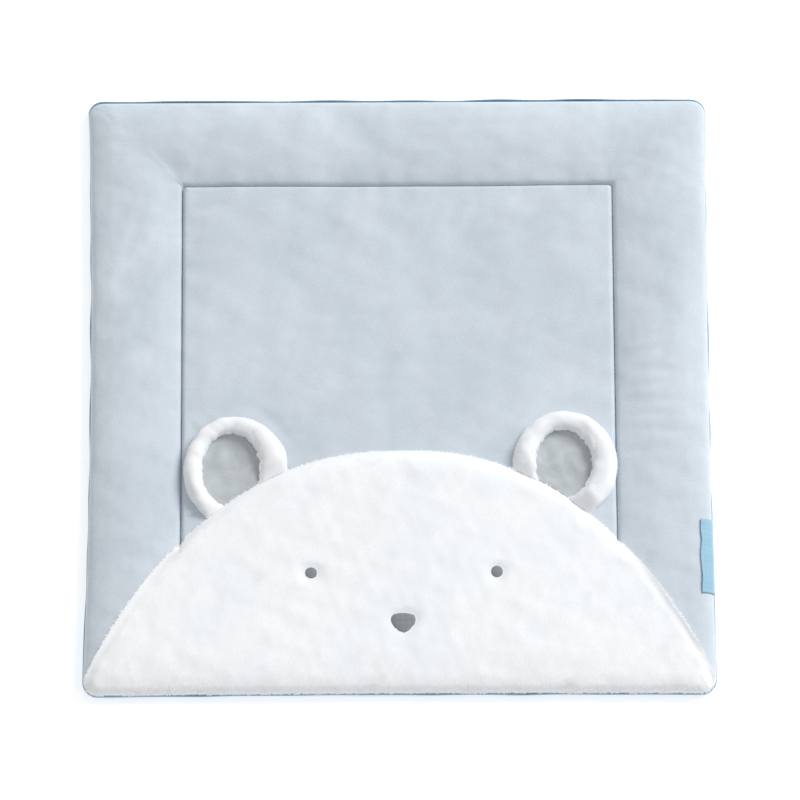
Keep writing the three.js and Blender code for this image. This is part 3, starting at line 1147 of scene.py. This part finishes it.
@dataclass(frozen=True)
class FaceLayout:
    """Places and sizes of the eyes and the nose."""

    eyes_x: float = 7.5
    eye_spacing: float = 294.0
    eye_y: float = -307.0
    eye_radius: float = 9.7
    nose_x: float = 6.5
    nose_y: float = -386.5
    nose_half_width: float = 19.5
    nose_above: float = 12.0
    nose_below: float = 20.5
    nose_top_power: float = 3.0
    nose_point_power: float = 1.5

    def features(self) -> list[Feature]:
        """The left eye, the right eye and the nose.

        Returns:
            The left eye, the right eye and the nose.
        """
        offset, radius = self.eye_spacing / 2.0, self.eye_radius
        nose = Feature(
            "nose",
            self.nose_x,
            self.nose_y,
            self.nose_half_width,
            self.nose_above,
            self.nose_below,
            self.nose_top_power,
            self.nose_point_power,
        )
        eyes = [
            Feature(f"eye_{side.word}", self.eyes_x + side.value * offset, self.eye_y, radius, radius, radius)
            for side in Side
        ]
        return [*eyes, nose]


@dataclass
class PlushHead:
    """The bear's head: a padded plush panel sewn over the front of the mat, with its pile."""

    plan: MatPlan
    pad: PadCover
    layout: FaceLayout
    material: bpy.types.Material
    fill: float = 0.35
    section_inset: tuple[float, ...] = (0.8, 1.1, 2.6, 5.5, 12.0, 30.0, 65.0, 500.0)
    section_height: tuple[float, ...] = (14.4, 20.0, 27.0, 32.0, 37.0, 41.0, 43.0, 42.5)
    lip: float = 4.0
    rounding: float = 36.0
    dimple: float = 2.6
    dimple_width: float = 7.0
    columns: int = 200
    rows: int = 84
    clearance: float = 0.3
    pile: Pile = field(default_factory=lambda: Pile(length=6.5, width=1.3, lean=1.38, seed=41))
    tuft_spacing: float = 2.0
    lock_size: float = 8.0
    lock_pull: float = 0.25
    parting: float = 6.0
    parting_gap: float = 1.6
    parting_pull: float = 3.0
    whorl: float = 0.22
    whorl_wave: float = 52.0
    whorl_seeds: tuple[int, int] = (23, 24)
    combed_down: tuple[float, float] = (0.0, -0.6)
    edge_comb: float = 1.6
    edge_comb_reach: float = 12.0
    rim_drop: float = 2.0
    rim_drop_reach: float = 10.0
    rim_fade: float = 14.0
    rim_upright: float = 0.2
    # Painted shade on the roots near the front rim, standing for the shadows among tufts seen end-on.
    rim_dark: tuple[float, float] = (0.3, 0.9)
    rim_length: float = 0.45
    rim_growth: tuple[float, float] = (2.0, 16.0)
    parting_length: float = 0.6
    parting_growth: float = 12.0
    edge_length: float = 0.5
    edge_growth: float = 14.0
    edge_margin: float = 0.6
    side_limit: float = 498.0
    lowest_run: float = 0.3
    hem: float = 13.9
    relief_rise: tuple[float, float] = (2.0, 20.0)
    ripples: tuple[Ripple, ...] = (Ripple(0.25, 60.0, 21), Ripple(0.12, 24.0, 22))
    rim_insets: tuple[float, float, int] = (0.8, 14.0, 240)
    far_insets: tuple[float, float, int] = (14.2, 500.0, 600)
    zones: int = 2

    def height(self, x: Array, y: Array) -> Array:
        """Height of the panel: its section from the rim, easing down to a lip along the sewn outline.

        Args:
            x: Across the plain square.
            y: Along the plain square.

        Returns:
            Heights above the floor.
        """
        inset = self.plan.inset(x, y)
        section = section_curve(inset, self.section_inset, self.section_height) + self.pad.swell(x, y)
        sewn = np.minimum(section, self.pad.body(x, y) + self.lip)
        full = smooth_step(self.plan.inside_head(x, y), 0.0, self.rounding)
        uneven = sum(ripple.lift(x, y) for ripple in self.ripples)
        outside = [np.maximum(feature.beyond(x, y), 0.0) for feature in self.layout.features()]
        sewn_down = sum(np.exp(-(distance / self.dimple_width)) for distance in outside)
        relief = (uneven - self.dimple * sewn_down) * full * smooth_step(inset, *self.relief_rise)
        return sewn + (section - sewn) * full + relief

    def section_run(self) -> tuple[Array, Array]:
        """Insets along the panel's section, and the length of its curve from the front rim to each.

        Returns:
            Insets, and the lengths that go with them.
        """
        inset = np.concatenate([np.linspace(*self.rim_insets), np.linspace(*self.far_insets)])
        heights = section_curve(inset, self.section_inset, self.section_height)
        return inset, np.concatenate([[0.0], np.cumsum(np.hypot(np.diff(inset), np.diff(heights)))])

    def run(self, inset: Array) -> Array:
        """Distance along the panel from the front rim at a given inset."""
        return np.interp(inset, *self.section_run())

    def inset_at_run(self, run: Array) -> Array:
        """Inset at a distance along the panel from the front rim."""
        return np.interp(run, *self.section_run()[::-1])

    def surface(self, x: Array, run: Array) -> Array:
        """Point of the panel at a distance across the mat and along the panel from the front rim.

        Args:
            x: Across the plain square.
            run: Distance along the panel.

        Returns:
            Points of the panel.
        """
        y = self.inset_at_run(run) - self.plan.half
        px, py = self.plan.place(x, y)
        return np.stack([px, py, self.height(x, y)], axis=-1)

    def build(self) -> list[bpy.types.Object]:
        """The panel and its pile.

        Returns:
            The panel, then its pile.
        """
        share = np.linspace(-0.5, 0.5, self.columns + 1)
        across = self.plan.reach * np.sin(share * np.pi)
        up = np.linspace(0.0, 1.0, self.rows + 1)[:, None]
        x = np.broadcast_to(across, (self.rows + 1, self.columns + 1))
        run = up * self.run(self.plan.dome(across) + self.plan.head_inset)
        top = self.surface(x, run)
        bottom = top.copy()
        y = self.inset_at_run(run) - self.plan.half
        floor = np.maximum(self.pad.body(x, y) + self.clearance, self.hem)
        bottom[..., 2] = np.minimum(floor, top[..., 2] - self.clearance)
        panel = plush_skin(slab_piece("head_panel", top, bottom, self.material))
        settle(panel, "head")
        return [panel, *self.tufts()]

    def parted(self, x: Array, y: Array) -> Array:
        """Comb that parts the pile round the eyes and the nose: outwards from each, fading from its edge.

        Args:
            x: Across the plain square.
            y: Along the plain square.

        Returns:
            Ways in plan, two numbers each.
        """
        total = np.zeros((x.size, 2))
        for feature in self.layout.features():
            way = unit(np.stack([x - feature.x, y - feature.y], axis=-1))
            total += way * np.exp(-np.maximum(feature.beyond(x, y), 0.0) / self.parting)[:, None]
        return total

    def comb(self, x: Array, y: Array, run: Array, within: Array) -> Array:
        """Way the pile is combed: down the head with soft whorls, outwards at its edge and over the rim.

        Args:
            x: Across the plain square.
            y: Along the plain square.
            run: Distance along the panel from the front rim.
            within: Distance inside the head's outline.

        Returns:
            Ways, three numbers each.
        """
        whorl = np.stack([wave_noise(x, y, self.whorl_wave, seed=seed) for seed in self.whorl_seeds], axis=-1)
        slope = (self.plan.dome(x + 1.0) - self.plan.dome(x - 1.0)) / 2.0
        outwards = unit(np.stack([-slope, np.ones_like(slope)], axis=-1))
        edge = np.exp(-within / self.edge_comb_reach)[:, None]
        down = self.whorl * whorl + np.array(self.combed_down)
        flat = down * (1.0 - edge) + self.edge_comb * edge * outwards
        flat += self.parting_pull * self.parted(x, y)
        return np.column_stack([flat, -self.rim_drop * np.exp(-run / self.rim_drop_reach)])

    def lengths(self, run: Array, within: Array, beyond: Array) -> Array:
        """Share of the pile's full length: shorter at the rim, round the eyes and nose and along the edge.

        Args:
            run: Distance along the panel from the front rim.
            within: Distance inside the head's outline.
            beyond: Distance from the nearest eye or the nose.

        Returns:
            Shares of the full length.
        """
        rim = self.rim_length + (1.0 - self.rim_length) * smooth_step(run, *self.rim_growth)
        grown = smooth_step(beyond, 0.0, self.parting_growth)
        parted = self.parting_length + (1.0 - self.parting_length) * grown
        edge = self.edge_length + (1.0 - self.edge_length) * smooth_step(within, 0.0, self.edge_growth)
        return rim * parted * edge

    def tufts(self) -> list[bpy.types.Object]:
        """Pile of the panel, in zones from left to right.

        Roots are a jittered grid across the panel. Tips draw together in locks, each towards the middle of
        its own jittered cell.

        Returns:
            One object for each zone.
        """
        numbers = np.random.default_rng(self.pile.seed)
        far = float(self.run(np.asarray(self.plan.head_rise)))
        across = np.arange(-self.plan.reach, self.plan.reach, self.tuft_spacing)
        along = np.arange(0.5, far, self.tuft_spacing)
        x, run = (grid.ravel() for grid in np.meshgrid(across, along))
        aside = numbers.uniform(-0.5, 0.5, x.size) * self.tuft_spacing
        x = np.clip(x + aside, -self.side_limit, self.side_limit)
        run = np.maximum(run + numbers.uniform(-0.5, 0.5, x.size) * self.tuft_spacing, self.lowest_run)
        y = self.inset_at_run(run) - self.plan.half
        within = self.plan.inside_head(x, y)
        beyond = np.min([f.beyond(x, y) for f in self.layout.features()], axis=0)
        keep = (within > self.edge_margin) & (beyond > self.parting_gap)
        x, run, y, within, beyond = x[keep], run[keep], y[keep], within[keep], beyond[keep]
        towards = self.lock_pull * nearest_lock(np.stack([x, y], axis=-1), self.lock_size, self.pile.seed)
        near_rim = np.exp(-run / self.rim_fade)
        tufts = Tufts(
            roots=self.surface(x, run),
            normals=surface_normals(self.surface, x, run, 0.5),
            combs=self.comb(x, y, run, within),
            pulls=np.column_stack([towards, np.zeros(len(x))]),
            lengths=self.lengths(run, within, beyond),
            upright=self.rim_upright * near_rim,
            # Roots near the front rim get random painted shade, for the shadows among the tufts there.
            lightness=SKIN_PAINTED_LIGHT - numbers.uniform(*self.rim_dark, len(x)) * near_rim,
        )
        zone = np.clip(((x / self.plan.reach + 1.0) / 2.0 * self.zones).astype(int), 0, self.zones - 1)
        pieces = [
            self.pile.build(f"head_pile_{number + 1}", tufts.pick(zone == number), self.material)
            for number in range(self.zones)
        ]
        return [settle(piece) for piece in pieces]


@dataclass
class Ear:
    """One ear: a stuffed plush roll bent to a horseshoe, puckered inside, with grey cloth within it."""

    side: Side
    x: float
    y: float
    plan: MatPlan
    pad: PadCover
    plush: bpy.types.Material
    cloth: bpy.types.Material
    full: float
    uneven: float
    slim: float
    reach: float = 82.0
    lopsided: float = 2.6
    half_width: float = 16.5
    half_height: float = 14.0
    lift: float = 9.0
    legs: float = 1.14
    end_fall: float = 36.0
    end_height: float = 0.3
    steps: int = 220
    around: int = 40
    pucker_depth: float = 2.2
    pucker_count: int = 19
    pucker_rates: tuple[float, ...] = (1.0, 1.63, 0.61)
    pucker_phase: float = 6.28
    pucker_turn: float = 0.5
    pucker_gain: float = 2.2
    soft_share: float = 0.035
    soft_wave: float = 22.0
    soft_stretch: tuple[float, float] = (40.0, 12.0)
    height_power: float = 0.25
    first_seed: int = 70
    arc: tuple[float, float] = (-QUARTER_TURN, 3.0 * QUARTER_TURN)
    arc_steps: int = 1440
    fill: float = 0.75
    gap: float = 0.5
    pile: Pile = field(default_factory=lambda: Pile(length=4.2, width=1.1, lean=1.36, sunk=0.9, seed=61))
    tuft_spacing: float = 1.7
    pile_turns: float = 4.8
    whorl_wave: float = 26.0
    whorl_seed: int = 5
    normal_step: float = 0.02
    # Painted light at the roots of the ear's pile: a little painted shade among the fibres.
    root_light: float = 0.8
    lining_thickness: float = 1.8
    lining_tuck: float = 5.0
    lining_rings: int = 26
    lining_around: int = 96
    lining_steps: int = 400
    lining_off: float = 1.2
    slack: float = 0.7
    slack_wave: float = 34.0
    slack_seed: int = 9
    slack_least: float = -0.8
    slack_power: int = 4

    @property
    def seed(self) -> int:
        """Start of this ear's own seeded numbers."""
        return self.first_seed + self.side.value

    def spoke(self, angle: Array) -> Array:
        """Way out from the ear's middle, longer in the lower half where the legs run down to the head."""
        longer = np.where(np.sin(angle) < 0.0, self.legs, 1.0)
        return np.stack([np.cos(angle), np.sin(angle) * longer], axis=-1)

    def outer(self, angle: Array) -> Array:
        """Outer reach of the roll, a little more towards the mat's right."""
        return self.reach + self.lopsided * (np.cos(angle) + np.cos(3.0 * angle + 1.0) / 3.0)

    def fullness(self, angle: Array) -> Array:
        """Share of the full section: more towards the mat's right and less over the top and at the ends."""
        return self.full + self.uneven * np.cos(angle) - self.slim * np.sin(angle) ** 2

    def roll(self, angle: Array, turn: Array) -> Array:
        """Point of the roll: an oval section carried round the ear, gathered in puckers on its inner side.

        It lies on the cover, and falls towards it where its ends run under the head's edge.

        Args:
            angle: Way round the ear.
            turn: Way round the section, 0 at its outer side and a quarter turn at its top.

        Returns:
            Points in millimetres.
        """
        full = self.fullness(angle)
        numbers = np.random.default_rng(self.seed)
        gathers = np.zeros_like(angle)
        count = len(self.pucker_rates)
        for start, rate in zip(numbers.uniform(0, self.pucker_phase, count), self.pucker_rates):
            gathers += np.abs(np.sin(angle * self.pucker_count * rate / 2.0 + start)) / count
        inner = np.clip(-np.cos(turn - self.pucker_turn), 0.0, 1.0) ** 2
        gather = 1.0 - self.pucker_depth / self.half_width * (1.0 - gathers) * inner * self.pucker_gain
        along, about = angle * self.soft_stretch[0], turn * self.soft_stretch[1]
        soft = 1.0 + self.soft_share * wave_noise(along, about, self.soft_wave, seed=self.seed)
        line = self.outer(angle) - self.half_width * full
        width = self.half_width * full * gather * soft * np.cos(turn)
        height = self.half_height * full**self.height_power * gather * soft * np.sin(turn)
        plan = np.array([self.x, self.y]) + self.spoke(angle) * (line + width)[..., None]
        x, y = plan[..., 0], plan[..., 1]
        middle = float(self.pad.body(np.asarray(self.x), np.asarray(self.y)))
        floor = self.pad.body(x, y) + self.gap
        rise = np.maximum(middle + self.lift + height - floor, 0.0)
        open_way = np.sqrt(smooth_step(-self.plan.inside_head(x, y), 0.0, self.end_fall))
        z = floor + rise * (self.end_height + (1.0 - self.end_height) * open_way)
        return np.concatenate([plan, z[..., None]], axis=-1)

    def ends(self, turn: Array) -> tuple[Array, Array]:
        """First and last angles at which each line along the roll is clear of the head's outline.

        Args:
            turn: Way round the section of each line.

        Returns:
            First and last angles of each line.
        """
        angle = np.linspace(*self.arc, self.arc_steps)
        points = self.roll(*np.meshgrid(angle, turn, indexing="ij"))
        clear = self.plan.inside_head(points[..., 0], points[..., 1]) < -self.gap
        top = np.argmin(np.abs(angle - QUARTER_TURN))
        first = top - np.argmin(clear[top::-1], axis=0) + 1
        last = top + np.argmin(clear[top:], axis=0) - 1
        return angle[first], angle[last]

    def build(self) -> list[bpy.types.Object]:
        """The roll, its pile and the lining.

        Returns:
            The roll, its pile and the lining.
        """
        turn = np.linspace(0.0, -FULL_TURN, self.around, endpoint=False)
        first, last = self.ends(turn)
        share = np.linspace(0.0, 1.0, self.steps)[:, None]
        angle = first + (last - first) * share
        rings = self.roll(angle, np.broadcast_to(turn, angle.shape))
        roll = plush_skin(tube_piece(f"ear_{self.side.word}_roll", rings, self.plush))
        settle(roll, f"ear_roll_{self.side.word}")
        return [roll, self.tufts(), self.lining()]

    def tufts(self) -> bpy.types.Object:
        """Short pile on the roll's open sides, combed round the ear and outwards.

        Returns:
            The pile.
        """
        numbers = np.random.default_rng(self.seed)
        around = round(FULL_TURN * self.reach / self.tuft_spacing)
        across = round(self.pile_turns * (self.half_width + self.half_height) / 2.0 / self.tuft_spacing)
        angle, turn = np.meshgrid(
            np.linspace(*self.arc, around),
            QUARTER_TURN + np.linspace(-0.5, 0.5, across) * self.pile_turns,
        )
        angle = angle.ravel() + numbers.uniform(-0.5, 0.5, angle.size) * self.tuft_spacing / self.reach
        turn = turn.ravel() + numbers.uniform(-0.5, 0.5, turn.size) * self.tuft_spacing / self.half_height
        roots = self.roll(angle, turn)
        clear = self.plan.inside_head(roots[:, 0], roots[:, 1]) < -self.gap
        angle, turn, roots = angle[clear], turn[clear], roots[clear]
        outwards = np.column_stack([self.spoke(angle), np.zeros(len(angle))])
        round_ear = np.column_stack([-np.sin(angle), np.cos(angle), np.zeros(len(angle))])
        whorl = wave_noise(roots[:, 0], roots[:, 1], self.whorl_wave, seed=self.seed + self.whorl_seed)
        level = np.zeros(len(roots))
        tufts = Tufts(
            roots=roots,
            normals=surface_normals(self.roll, angle, turn, self.normal_step),
            combs=outwards + 0.5 * round_ear * whorl[:, None],
            pulls=np.zeros_like(roots),
            lengths=level + 1.0,
            upright=level,
            lightness=level + self.root_light,
        )
        return settle(self.pile.build(f"ear_{self.side.word}_pile", tufts, self.plush))

    def lining(self) -> bpy.types.Object:
        """Grey cloth on the cover inside the ear: rings about its middle, out to the roll or the head's edge.

        Returns:
            The lining.
        """
        angle = np.linspace(0.0, FULL_TURN, self.lining_around, endpoint=False)
        reach = self.outer(angle) - 2.0 * self.half_width * self.fullness(angle) + self.lining_tuck
        distance = np.linspace(0.0, 1.0, self.lining_steps)[:, None]
        spoke = self.spoke(angle)
        line = np.array([self.x, self.y]) + spoke * (reach * distance)[..., None]
        clear = self.plan.inside_head(line[..., 0], line[..., 1]) < -self.gap
        last = np.where(clear.all(axis=0), len(distance) - 1, np.argmin(clear, axis=0) - 1)
        limit = distance[last, 0]
        share = np.linspace(1.0 / self.lining_rings, 1.0, self.lining_rings)[:, None]
        plan = np.array([self.x, self.y]) + spoke * (reach * limit * share)[..., None]
        x, y = plan[..., 0], plan[..., 1]
        loose = self.slack * wave_noise(x, y, self.slack_wave, seed=self.seed + self.slack_seed)
        slack = loose * (1.0 - share**self.slack_power)
        base = self.pad.top(x, y) + self.lining_off + np.maximum(slack, self.slack_least)
        bottom = np.concatenate([plan, base[..., None]], axis=-1)
        top = bottom + np.array([0.0, 0.0, self.lining_thickness])
        piece = disc_piece(f"ear_{self.side.word}_lining", top, bottom, self.cloth)
        return settle(piece, f"ear_lining_{self.side.word}")


@dataclass
class FaceStitching:
    """Satin-stitched eyes and nose, sunk into the pile."""

    layout: FaceLayout
    head: PlushHead
    material: bpy.types.Material
    thickness: float = 3.2
    proud: float = 1.6
    thread: float = 1.5  # the true thread is about 0.4 mm, drawn coarser so that it shows
    rings: int = 22
    around: int = 120
    crown_fall: float = 0.55
    crown_power: int = 4
    ridge: float = 0.35
    ridge_power: int = 8
    ragged: float = 0.02
    ragged_power: int = 6
    slants: tuple[float, ...] = (-0.4, 0.4, 0.0)

    def patch(self, feature: Feature, slant: float) -> bpy.types.Object:
        """A domed patch of parallel stitches: an outline filled by rings, ridged across by the threads.

        Args:
            feature: The eye or nose.
            slant: Heading of the threads.

        Returns:
            The new object.
        """
        angle = np.linspace(0.0, FULL_TURN, self.around, endpoint=False)
        share = np.linspace(1.0 / self.rings, 1.0, self.rings)[:, None]
        flat = feature.outline(angle) * share[..., None]
        across = flat[..., 1] * math.cos(slant) - flat[..., 0] * math.sin(slant)
        ridge = np.abs(np.cos(np.pi * across / self.thread))
        middle = np.array([feature.x, feature.y])
        level = float(self.head.height(middle[0], middle[1])) + self.proud - self.thickness
        dome = self.thickness * (1.0 - self.crown_fall * share**self.crown_power)
        crown = dome + self.ridge * ridge * (1.0 - share**self.ridge_power)
        plan = flat * (1.0 + self.ragged * ridge * share**self.ragged_power)[..., None] + middle
        top = np.concatenate([plan, (level + crown)[..., None]], axis=-1)
        bottom = np.concatenate([plan, np.full((*plan.shape[:2], 1), level)], axis=-1)
        piece = disc_piece(f"{feature.node}_stitching", top, bottom, self.material)
        return settle(piece, feature.node)

    def build(self) -> list[bpy.types.Object]:
        """Both eyes and the nose."""
        return [self.patch(feature, slant) for feature, slant in zip(self.layout.features(), self.slants)]


@dataclass
class EdgeTab:
    """A ribbon tab sewn into the rim on the mat's right, folded up over the edge of the cover."""

    plan: MatPlan
    pad: PadCover
    finish: WovenFinish = WovenFinish(
        "satin_ribbon", "#8db6cc", "#9bc2d8", thread_mm=1.4, sheen=0.05, roughness=0.55
    )
    y: float = -281.0
    length: float = 121.0
    reach: float = 20.5
    thickness: float = 1.2
    off: float = 0.6
    curl: float = 1.2
    curl_power: int = 6
    curl_uneven: float = 0.35
    from_rim: float = 0.6
    rim_crowding: float = 1.6
    waver: float = 0.7
    waver_wave: float = 40.0
    waver_seed: int = 91
    rows: int = 60
    columns: int = 26

    def build(self) -> bpy.types.Object:
        """Profile of the cover's edge, held off it and curled up at its free end, carried along the rim.

        Returns:
            The tab.
        """
        share = np.linspace(0.0, 1.0, self.columns)
        inset = self.from_rim + (self.reach - self.from_rim) * share**self.rim_crowding
        along = np.linspace(-0.5, 0.5, self.rows)[:, None] * self.length
        uneven = wave_noise(along, np.zeros_like(along), self.waver_wave, seed=self.waver_seed)
        x = self.plan.half - inset + self.waver * uneven * share**3
        y = self.y + along + np.zeros_like(x)
        curl = self.curl * (1.0 + self.curl_uneven * uneven) * share**self.curl_power
        rise = section_curve(inset, self.pad.section_inset, self.pad.section_height)
        z = rise + self.off + curl
        px, py = self.plan.place(x, y)
        bottom = np.stack([px + self.off * (1.0 - share), py, z], axis=-1)
        along_x, along_y = np.gradient(bottom, axis=1), np.gradient(bottom, axis=0)
        top = bottom + self.thickness * unit(np.cross(along_y, along_x))
        piece = slab_piece("edge_tab_ribbon", top[:, ::-1], bottom[:, ::-1], self.finish.material())
        return settle(piece, "edge_tab")


@dataclass
class ChannelStitching:
    """The line of stitches that draws the cover down along the sewn square."""

    plan: MatPlan
    pad: PadCover
    material: bpy.types.Material
    pitch: float = 5.0
    length: float = 3.6
    radius: float = 0.55
    sides: int = 6
    shown_from: float = 4.0
    lift: float = 0.7

    def build(self) -> bpy.types.Object:
        """Spindle-shaped stitches, six-sided in the middle and pointed at both ends, one by one on the seam.

        Returns:
            All the stitches in one mesh.
        """
        seam = self.plan.half - self.plan.border
        run = np.arange(-seam + self.pitch, seam, self.pitch)
        side = np.full_like(run, seam)
        x = np.concatenate([-side, run, side])
        y = np.concatenate([run, side, run])
        upwards = np.full_like(run, QUARTER_TURN)
        way = np.concatenate([upwards, np.zeros_like(run), upwards])
        shown = self.plan.inside_head(x, y) < -self.shown_from
        x, y, way = x[shown], y[shown], way[shown]
        px, py = self.plan.place(x, y)
        middle = np.stack([px, py, self.pad.top(x, y) + self.lift * self.radius], axis=-1)
        along = np.stack([np.cos(way), np.sin(way), np.zeros_like(way)], axis=-1)
        aside = np.stack([-np.sin(way), np.cos(way), np.zeros_like(way)], axis=-1)
        turn = (np.arange(self.sides) * FULL_TURN / self.sides)[None, :, None]
        ring = (np.cos(turn) * aside[:, None] + np.sin(turn) * np.array([0.0, 0.0, 1.0])) * self.radius
        tips = np.stack([middle - along * self.length / 2.0, middle + along * self.length / 2.0], axis=1)
        points = np.concatenate([middle[:, None] + ring, tips], axis=1)
        first = np.arange(self.sides)
        onwards = np.roll(first, -1)
        near, far = np.full(self.sides, self.sides), np.full(self.sides, self.sides + 1)
        halves = [np.stack([first, onwards, far], axis=-1), np.stack([onwards, first, near], axis=-1)]
        start = np.arange(len(middle))[:, None, None] * points.shape[1]
        faces = (start + np.concatenate(halves)).reshape(-1, 3)
        piece = mesh_piece("channel_stitches", points.reshape(-1, 3), faces.tolist(), self.material)
        return settle(piece)


@dataclass
class Studio:
    """White floor, a large soft light from the far right, even light all round, and the camera, in metres."""

    floor_half: float = 9.0
    floor_drop: float = 0.3
    far_limit: float = 100.0
    lens: float = 270.0
    distance: float = 9.61
    elevation: float = 72.76
    azimuth: float = -0.28
    aim: tuple[float, float, float] = (0.0027, -0.0097, 0.0)
    key_place: tuple[float, float, float] = (8.7, 6.3, 8.1)
    key_size: float = 6.6
    key_power: float = 1350.0
    even_light: float = 0.56

    def build(self) -> None:
        """Make the floor, the lights and the camera."""
        self.floor()
        self.light()
        self.camera()

    def floor(self) -> None:
        """Plain white floor just under the mat."""
        side = np.array([-1.0, 1.0]) * self.floor_half / MM
        x, y = np.meshgrid(side, side)
        points = np.stack([x, y, np.full_like(x, -self.floor_drop)], axis=-1).reshape(-1, 3)
        floor = mesh_piece("studio_floor", points, grid_faces(2, 2).tolist(), FloorFinish().material())

    def light(self) -> None:
        """One large soft light, and an even white surround."""
        lamp = bpy.data.lights.new("soft_key", "AREA")
        lamp.shape = "DISK"
        lamp.size = self.key_size
        lamp.energy = self.key_power
        key = bpy.data.objects.new("soft_key", lamp)
        key.location = self.key_place
        key.rotation_euler = (-Vector(self.key_place)).to_track_quat("-Z", "Y").to_euler()
        bpy.context.scene.collection.objects.link(key)
        world = bpy.data.worlds.new("even_surround")
        world.use_nodes = True
        background = world.node_tree.nodes["Background"]
        background.inputs["Color"].default_value = to_linear(WHITE)
        background.inputs["Strength"].default_value = self.even_light
        bpy.context.scene.world = world
        bpy.context.scene.view_settings.view_transform = "Standard"

    def camera(self) -> None:
        """A long lens, almost straight above the mat, from the bear's chin."""
        lens = bpy.data.cameras.new("studio_camera")
        lens.lens = self.lens
        lens.clip_end = self.far_limit
        camera = bpy.data.objects.new("studio_camera", lens)
        turn, lift = math.radians(self.azimuth), math.radians(self.elevation)
        back = Vector((math.sin(turn) * math.cos(lift), -math.cos(turn) * math.cos(lift), math.sin(lift)))
        camera.location = Vector(self.aim) + back * self.distance
        camera.rotation_euler = (-back).to_track_quat("-Z", "Y").to_euler()
        bpy.context.scene.collection.objects.link(camera)
        bpy.context.scene.camera = camera


def main() -> None:
    """Load the solids, make each piece over them, and set the studio round the mat."""
    logging.basicConfig(level=logging.INFO, format="%(name)s %(message)s")
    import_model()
    back_plan = MatPlan()
    plan = replace(back_plan, far_short=9.5)
    plush = PlushFinish().material()
    ear_velour = VelourFinish("grey_ear_velour", "#b2b8bb", "#c7cdcf", patch_mm=45.0, stroke_mm=14.0)
    ear_cloth = ear_velour.material()
    thread = WovenFinish("grey_rayon_thread", "#80858a", "#8d9296", thread_mm=1.5, roughness=0.6).material()
    seam_thread = WovenFinish("pale_blue_thread", "#a9b6c2", "#bfcad5", thread_mm=1.5).material()
    pad = PadCover(plan)
    pad.build()
    BackCloth(back_plan).build()
    face = FaceLayout()
    head = PlushHead(plan, pad, face, plush)
    head.build()
    parts = {"plan": plan, "pad": pad, "plush": plush, "cloth": ear_cloth}
    Ear(side=Side.LEFT, x=-262.0, y=-132.0, full=1.12, uneven=0.24, slim=0.30, **parts).build()
    Ear(side=Side.RIGHT, x=262.0, y=-125.0, full=1.16, uneven=0.06, slim=0.25, **parts).build()
    FaceStitching(face, head, thread).build()
    EdgeTab(plan, pad).build()
    ChannelStitching(plan, pad, seam_thread).build()
    Studio().build()


if __name__ == "__main__":
    main()
